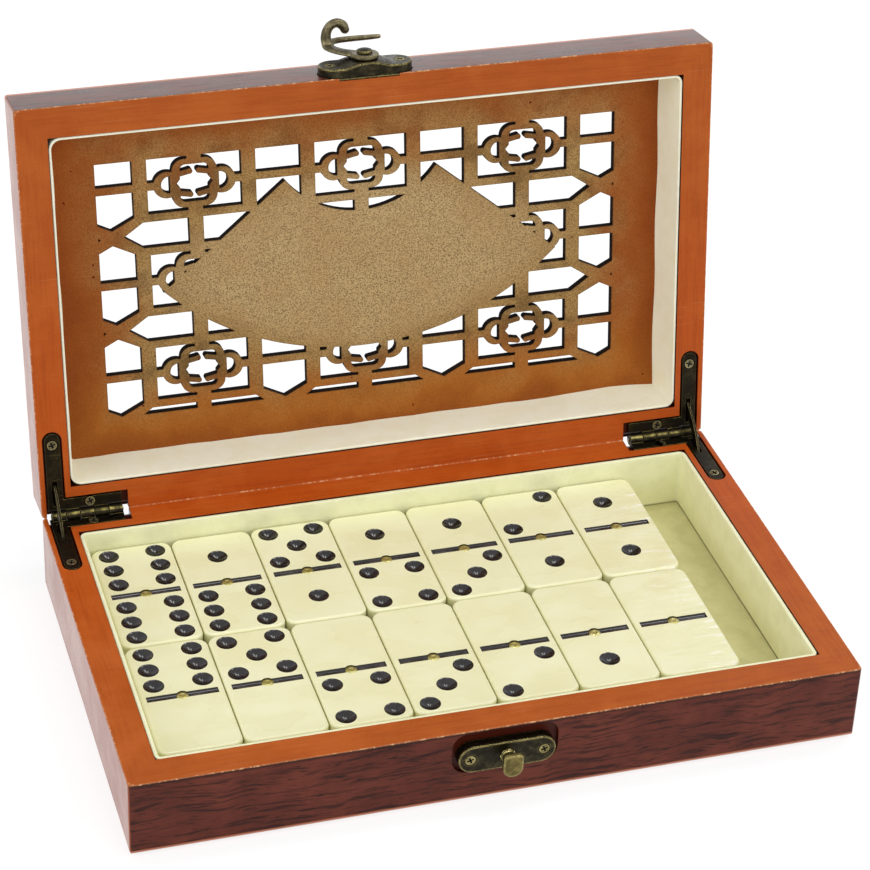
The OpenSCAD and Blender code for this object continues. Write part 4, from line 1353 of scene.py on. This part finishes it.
@dataclass
class Latch:
    """Catch on the base and hook on the lid.

    The knots of the hook's three bars are right and up from the rivet and out from the hook's
    middle plane, then the bar's two radii.
    """

    catch_face: float = 2.0
    hook_face: float = 2.6
    catch_x: float = -0.3
    catch_z: float = RIM_Z - 8.4
    hook_x: float = -1.4
    hook_z: float = RIM_Z + 5.2
    screw_x: float = 10.6
    plate_edge: float = 0.3
    stud_edge: float = 0.42
    rivet_edge: float = 0.2
    hook_low: float = 4.02
    hook_top: float = 5.52
    eye_r: float = 4.25
    hole_r: float = 1.57
    voxel: float = 0.13
    arm: Knots = (
        (-2.6, 2.0, 0.0, 2.7, 0.72),
        (-5.6, 5.0, 0.0, 2.2, 0.75),
        (-7.6, 8.6, 0.0, 1.9, 0.85),
        (-8.0, 11.8, 0.15, 1.75, 1.0),
        (-7.2, 14.3, 0.1, 1.35, 1.0),
        (-5.4, 15.9, 0.0, 1.0, 0.95),
    )
    prong: Knots = (
        (-6.4, 15.2, 0.0, 1.05, 1.0),
        (-3.6, 16.5, 0.0, 0.95, 0.92),
        (0.5, 16.85, 0.0, 0.92, 0.88),
        (5.0, 16.75, 0.0, 0.84, 0.8),
        (8.9, 16.6, 0.05, 0.72, 0.68),
    )
    horn: Knots = (
        (-7.9, 10.6, 0.0, 1.7, 1.0),
        (-8.3, 12.2, 1.7, 1.6, 1.45),
        (-8.0, 12.6, 3.9, 1.45, 1.5),
        (-6.9, 12.7, 5.7, 1.35, 1.5),
        (-4.9, 12.6, 6.5, 1.35, 1.5),
        (-3.2, 12.5, 5.7, 1.5, 1.6),
        (-2.5, 12.4, 4.4, 1.35, 1.5),
    )

    def plates(self) -> None:
        """Rounds and finishes the plates, the stud and the rivet."""
        olive = paint(36, 32, 21), paint(226, 208, 132), paint(68, 62, 42)
        gold = paint(98, 86, 47), paint(238, 222, 152), paint(142, 128, 74)
        catch = tuple((self.catch_x + s * self.screw_x, self.catch_z) for s in (-1, 1))
        hooked = tuple((self.hook_x + s * self.screw_x, self.hook_z) for s in (-1, 1))
        for node, place, rings, edge, tones in (
            ("catch_plate", Place.BASE, catch, self.plate_edge, olive),
            ("catch_stud", Place.BASE, (), self.stud_edge, gold),
            ("hook_plate", Place.LID, hooked, self.plate_edge, olive),
            ("hook_rivet", Place.LID, (), self.rivet_edge, olive),
        ):
            look = {"edge_radius": 1.1, "roughness": 0.28, "screws": rings, "upright_rings": True}
            finish = BrassFinish(node + "_brass", *tones, place, **look)
            piece = softened(node, node + "_cast", edge, segments=3)
            dress(piece, finish.material())
            seat(piece, place.body, "antique_brass", node)

    def hook(self) -> None:
        """Casts the hook as one soft solid.

        Four shapes overlap and are fused: the eye, a rounded block turned about the rivet; the
        arm, a flat ellipse along a bent line; the prong, a tapering round bar; and the thumb
        horn, a round bar that rises, curls over and ends in a bulb.
        """
        surface = Surface()
        middle = (self.hook_low + self.hook_top) / 2
        half = (self.hook_top - self.hook_low) / 2
        turn = np.linspace(0, 2 * math.pi, 32, endpoint=False)
        lobe = [np.sign(wave) * np.abs(wave) ** 0.6 for wave in (np.cos(turn), np.sin(turn))]
        reach = (self.eye_r + self.hole_r) / 2 + (self.eye_r - self.hole_r) / 2 * lobe[0]
        eye = reach[:, None, None] * circle(1.0, 64)[None]
        surface.grid(lifted(eye, (middle + half * lobe[1])[:, None]), wrap_rows=True)
        for across, knots in ((OUT, self.arm), (OUT, self.prong), (UP, self.horn)):
            line = spline(knots, 8) + (0.0, 0.0, middle, 0.0, 0.0)
            surface.grid(swept(line[:, :3], across, line[:, 3:]))
        for index, points in enumerate(surface.points):
            local = points @ np.array([[1, 0, 0], [0, 0, 1], [0, -1, 0]])
            surface.points[index] = swung(local + (self.hook_x, LATCH_Y, self.hook_z))
        rough = surface.piece("hook_rough")
        fuse = rough.modifiers.new("fuse", "REMESH")
        fuse.mode = "VOXEL"
        fuse.voxel_size = self.voxel * MM
        ease = rough.modifiers.new("ease", "SMOOTH")
        ease.factor = 0.5
        ease.iterations = 6
        seen = rough.evaluated_get(bpy.context.evaluated_depsgraph_get())
        mesh = bpy.data.meshes.new_from_object(seen)
        bpy.data.objects.remove(rough)
        mesh.name = "hook_cast"
        shade_smooth(mesh)
        piece = linked("hook_cast", mesh)
        tones = paint(84, 76, 54), paint(232, 218, 154), paint(136, 126, 96)
        finish = BrassFinish("hook_brass", *tones, Place.LID, edge_radius=1.0, roughness=0.28)
        dress(piece, finish.material())
        seat(piece, "hook", "antique_brass", "hook")

    def build(self) -> None:
        """Builds the latch."""
        self.plates()
        self.hook()


@dataclass
class Tile:
    """One domino: rounded body, enamelled spots and groove, and a brass pin in the middle."""

    halves: tuple[int, int]
    column: int
    row: int
    layer: int
    width: float = 24.0
    length: float = 48.9
    height: float = 6.2
    plan_r: float = 3.2
    edge_r: float = 0.9
    spot_r: float = 3.0
    spot_slope: float = 0.3
    spot_tip: float = 0.5
    spot_bowl: float = 0.15
    lip: float = 0.08
    flat_ring: float = 0.06
    spot_x: float = 7.0
    spot_pitch: float = 7.3
    half_y: float = 13.0
    groove_l: float = 20.4
    groove_w: float = 2.4
    groove_depth: float = 0.6
    groove_bow: float = 0.36
    pin_r: float = 1.8
    pin_depth: float = 2.6
    hole_room: float = 0.03
    polygon_share: float = 0.985
    ring_count: int = 24
    spot_rings: tuple[float, ...] = (
        1.0, 0.97, 0.86, 0.74, 0.62, 0.51, 0.41, 0.32, 0.24, 0.17, 0.11, 0.06, 0.025
    )
    lip_drop: float = 0.06
    wall_drop: float = 0.07
    first_x: float = -81.0
    column_pitch: float = 24.26
    back_y: float = 28.15
    row_pitch: float = 49.16

    @property
    def node(self) -> str:
        """The tile's node, body and name."""
        return f"tile_{max(self.halves)}_{min(self.halves)}"

    @property
    def origin(self) -> np.ndarray:
        """Middle of the tile's underside in the box."""
        x = self.first_x + self.column_pitch * self.column
        y = self.back_y - self.row_pitch * self.row
        return np.array([x, y, FLOOR_Z + self.height * self.layer])

    def spots(self) -> np.ndarray:
        """Centres of the spots, N x 2: each half's pattern about the middle of its half."""
        places = []
        for count, middle in zip(self.halves, (self.half_y, -self.half_y)):
            steps = [(0, 0)] * (count % 2)
            steps += [(-1, -1), (1, 1)] * (count > 1)
            steps += [(-1, 1), (1, -1)] * (count > 3)
            steps += [(-1, 0), (1, 0)] * (count == 6)
            places += [(i * self.spot_x, middle + j * self.spot_pitch) for i, j in steps]
        return np.array(places).reshape(-1, 2)

    def groove(self, grow: float) -> np.ndarray:
        """Walks round the groove, with the pin's hole across its middle.

        Args:
            grow: How far outside the groove the outline runs.

        Returns:
            The outline, 22 x 2.
        """
        half_l, half_w = self.groove_l / 2 + grow, self.groove_w / 2 + grow
        r = self.pin_r + self.hole_room + grow
        start = math.asin(half_w / r)
        arc = np.linspace(start, math.pi - start, 9)
        upper = np.stack([r * np.cos(arc), r * np.sin(arc)], -1)
        ends = np.array([[half_l, -half_w], [half_l, half_w]])
        return np.vstack([ends, upper, -ends, -upper])

    def top(self, surface: Surface, rim: np.ndarray, spots: np.ndarray) -> None:
        """Closes the face: a constrained triangle mesh between the rim and the holes.

        Triangles whose middles lie in a hole are left out. A hole's outline is a polygon, so it
        runs a little inside its circle.

        Args:
            surface: Takes the triangles.
            rim: Outline of the flat of the face, N x 2.
            spots: Centres of the spots.
        """
        grown, grow = self.spot_r + self.lip + self.flat_ring, self.lip / 2 + self.flat_ring
        loops = [rim, self.groove(grow)]
        loops += [spot + circle(grown, self.ring_count) for spot in spots]
        edges, start = [], 0
        for loop in loops:
            index = np.arange(len(loop))
            edges += (np.stack([index, np.roll(index, -1)], 1) + start).tolist()
            start += len(loop)
        points, _, faces, *_ = delaunay_2d_cdt(np.vstack(loops).tolist(), edges, [], 1, 1e-7)
        flat = np.array([(p.x, p.y) for p in points])
        faces = np.array(faces)
        middle = flat[faces].mean(1)
        within = grown * math.cos(math.pi / self.ring_count)
        hidden = np.zeros(len(faces), bool)
        if len(spots):
            hidden = (np.linalg.norm(middle[:, None] - spots[None], axis=-1) < within).any(1)
        half = np.array([self.groove_l, self.groove_w]) / 2 + grow
        hidden |= (np.abs(middle) < half).all(1)
        hole = (self.pin_r + self.hole_room + grow) * self.polygon_share
        hidden |= np.linalg.norm(middle, axis=1) < hole
        surface.sheet(lifted(flat, self.height), faces[~hidden])

    def body(self) -> Surface:
        """Works out the resin body.

        The side is a quarter round, an upright and a quarter round, carried about the plan: a
        point is centre + (plan radius - inset) * direction. Each spot is a bowl with a round tip
        inside a small lip, z = top + slope * (sqrt(r^2 + tip^2) - sqrt(R^2 + tip^2)) +
        bowl * (r^2 - R^2) / 2. The groove's floor bows: z = floor + bow * (2 y / width)^4, and
        the strip along its middle has a paler ink of its own, a painted reflection. A narrow flat
        ring lies between the face and each edge, so that the face stays level up to it.
        """
        surface = Surface()
        centres, directions, _ = loop_frame(self.width, self.length, self.plan_r, 8, 1)
        quarter = np.linspace(0, math.pi / 2, 7)
        low, high = self.edge_r * (1 - np.cos(quarter)), self.edge_r * (1 - np.sin(quarter))
        inset = np.concatenate([high, low, [self.edge_r + self.flat_ring]])
        z = np.concatenate([low, self.height - high, [self.height]])
        flat = centres[None] + (self.plan_r - inset)[:, None, None] * directions[None]
        surface.grid(lifted(flat, z[:, None]))
        surface.cap(lifted(flat[0], 0.0))
        spots = self.spots()
        self.top(surface, flat[-1], spots)

        turn = np.linspace(0, math.pi / 3, 4)
        reach = self.spot_r * np.array(self.spot_rings)
        cone = np.hypot(reach, self.spot_tip) - math.hypot(self.spot_r, self.spot_tip)
        cone = self.spot_slope * cone + self.spot_bowl * (reach**2 - self.spot_r**2) / 2
        cone = np.minimum(cone, -self.lip_drop)
        lip_r = self.spot_r + self.lip * (1 - np.sin(turn) / math.sin(turn[-1]))
        lip_z = -self.lip_drop * (1 - np.cos(turn)) / (1 - math.cos(turn[-1]))
        lip_r, lip_z = np.append(lip_r[0] + self.flat_ring, lip_r), np.append(0.0, lip_z)
        for spot in spots:
            for radii, drop, slot in ((lip_r, lip_z, 0), (reach, cone, 1)):
                rings = spot + radii[:, None, None] * circle(1.0, self.ring_count)[None]
                surface.grid(lifted(rings, self.height + drop[:, None]), slot=slot)
            surface.cap(lifted(rings[-1], self.height + drop[-1]), slot=1)

        outline = self.groove(0.0)
        lip = self.lip / 2
        wall = np.stack([self.groove(lip + self.flat_ring), self.groove(lip), outline])
        surface.grid(lifted(wall, self.height - np.array([[0.0], [0.0], [self.wall_drop]])))
        deep = self.height - self.groove_depth
        drop = np.array([[self.height - self.wall_drop], [deep + self.groove_bow]])
        surface.grid(lifted(np.stack([outline] * 2), drop), slot=1)
        hole_r = self.pin_r + self.hole_room
        half = self.groove_w / 2
        y = np.linspace(-half, half, 7)
        floor_z = deep + self.groove_bow * (y / half) ** 4
        strips = (slice(0, 3), 1), (slice(2, 5), 2), (slice(4, 7), 1)
        inner = np.stack([np.sqrt(hole_r**2 - y**2), y], -1)
        outer = np.stack([np.full(7, self.groove_l / 2), y], -1)
        for sign in (1, -1):
            for strip, slot in strips:
                run = np.stack([inner[strip], outer[strip]]) * sign
                surface.grid(lifted(run, floor_z[None, strip]), wrap_columns=False, slot=slot)
            surface.cap(lifted(outer * sign, floor_z), slot=1)
        around = np.vstack([outline[2:11], -inner[1:-1], outline[13:], inner[1:-1]])
        upper = deep + self.groove_bow * np.minimum(1.0, np.abs(around[:, 1]) / half) ** 4
        bottom = self.height - self.pin_depth - 0.02
        depths = np.stack([upper, np.full(len(around), bottom)])
        surface.grid(lifted(np.stack([around] * 2), depths), slot=1)
        surface.cap(lifted(around, bottom), slot=1)
        return surface

    def pin(self) -> Surface:
        """Works out the brass pin: a profile of radius and height turned about its middle."""
        r = self.pin_r * np.array([0.0, 1.0, 1.0, 0.97, 0.88, 0.74, 0.55, 0.36, 0.3, 0.22, 0.0])
        drop = [self.pin_depth, self.pin_depth, 0.5, 0.4, 0.28, 0.18, 0.1, 0.06, 0.12, 0.13, 0.1]
        z = self.height - np.array(drop)
        surface = Surface()
        surface.grid(lifted(r[:, None, None] * circle(1.0, 20)[None], z[:, None]))
        return surface

    def build(
        self,
        resin: bpy.types.Material,
        inks: Sequence[bpy.types.Material],
        brass: bpy.types.Material,
    ) -> None:
        """Builds the tile and its pin.

        Args:
            resin: Material of the body.
            inks: Materials of the spots and the groove, and of the groove's middle, paler as a
                painted reflection.
            brass: Material of the pin.
        """
        pair = self.node.removeprefix("tile_")
        for name, surface, materials, slot, nodes in (
            ("domino_" + pair, self.body(), (resin, *inks), "tile_resin", (self.node,)),
            ("spinner_" + pair, self.pin(), (brass,), "antique_brass", ()),
        ):
            surface.points = [points + self.origin for points in surface.points]
            piece = surface.piece(name, 40.0)
            dress(piece, *materials)
            piece.modifiers.new("even", "WEIGHTED_NORMAL").keep_sharp = True
            seat(piece, self.node, slot, *nodes)


@dataclass
class TileSet:
    """All 28 tiles: two rows of seven in two layers.

    Each entry has its tiles' halves from left to right, its row from the back and its layer.
    """

    rows: tuple[tuple[str, int, int], ...] = (
        ("66 16 51 14 13 21 11", 0, 1),
        ("60 50 04 03 02 01 00", 1, 1),
        ("22 23 24 25 26 33 34", 0, 0),
        ("35 36 44 45 46 55 56", 1, 0),
    )

    def build(self) -> None:
        """Builds every tile with the same four materials."""
        resin = ResinFinish().material()
        # Painted reflection: the groove's middle strip gets this paler grey enamel.
        thin_and_sheen = InkFinish("groove_sheen_enamel", paint(40, 36, 37), paint(88, 84, 84))
        inks = InkFinish().material(), thin_and_sheen.material()
        tones = paint(186, 178, 104), paint(240, 232, 184), paint(220, 212, 146)
        brass = BrassFinish("spinner_brass", *tones, edge_radius=0.2, roughness=0.3).material()
        for pairs, row, layer in self.rows:
            for column, pair in enumerate(pairs.split()):
                Tile((int(pair[0]), int(pair[1])), column, row, layer).build(resin, inks, brass)


def main() -> None:
    """Builds the studio and then the box, piece by piece."""
    logging.basicConfig(level=logging.INFO, format="%(name)s: %(message)s")
    parts = (
        Studio(),
        Boards(Place.BASE),
        Boards(Place.LID),
        Panels(),
        Lining(Place.BASE),
        Lining(Place.LID),
        Hinges(),
        Screws(),
        Latch(),
        TileSet(),
    )
    for part in parts:
        part.build()
        log.info("%s done", type(part).__name__)


if __name__ == "__main__":
    main()
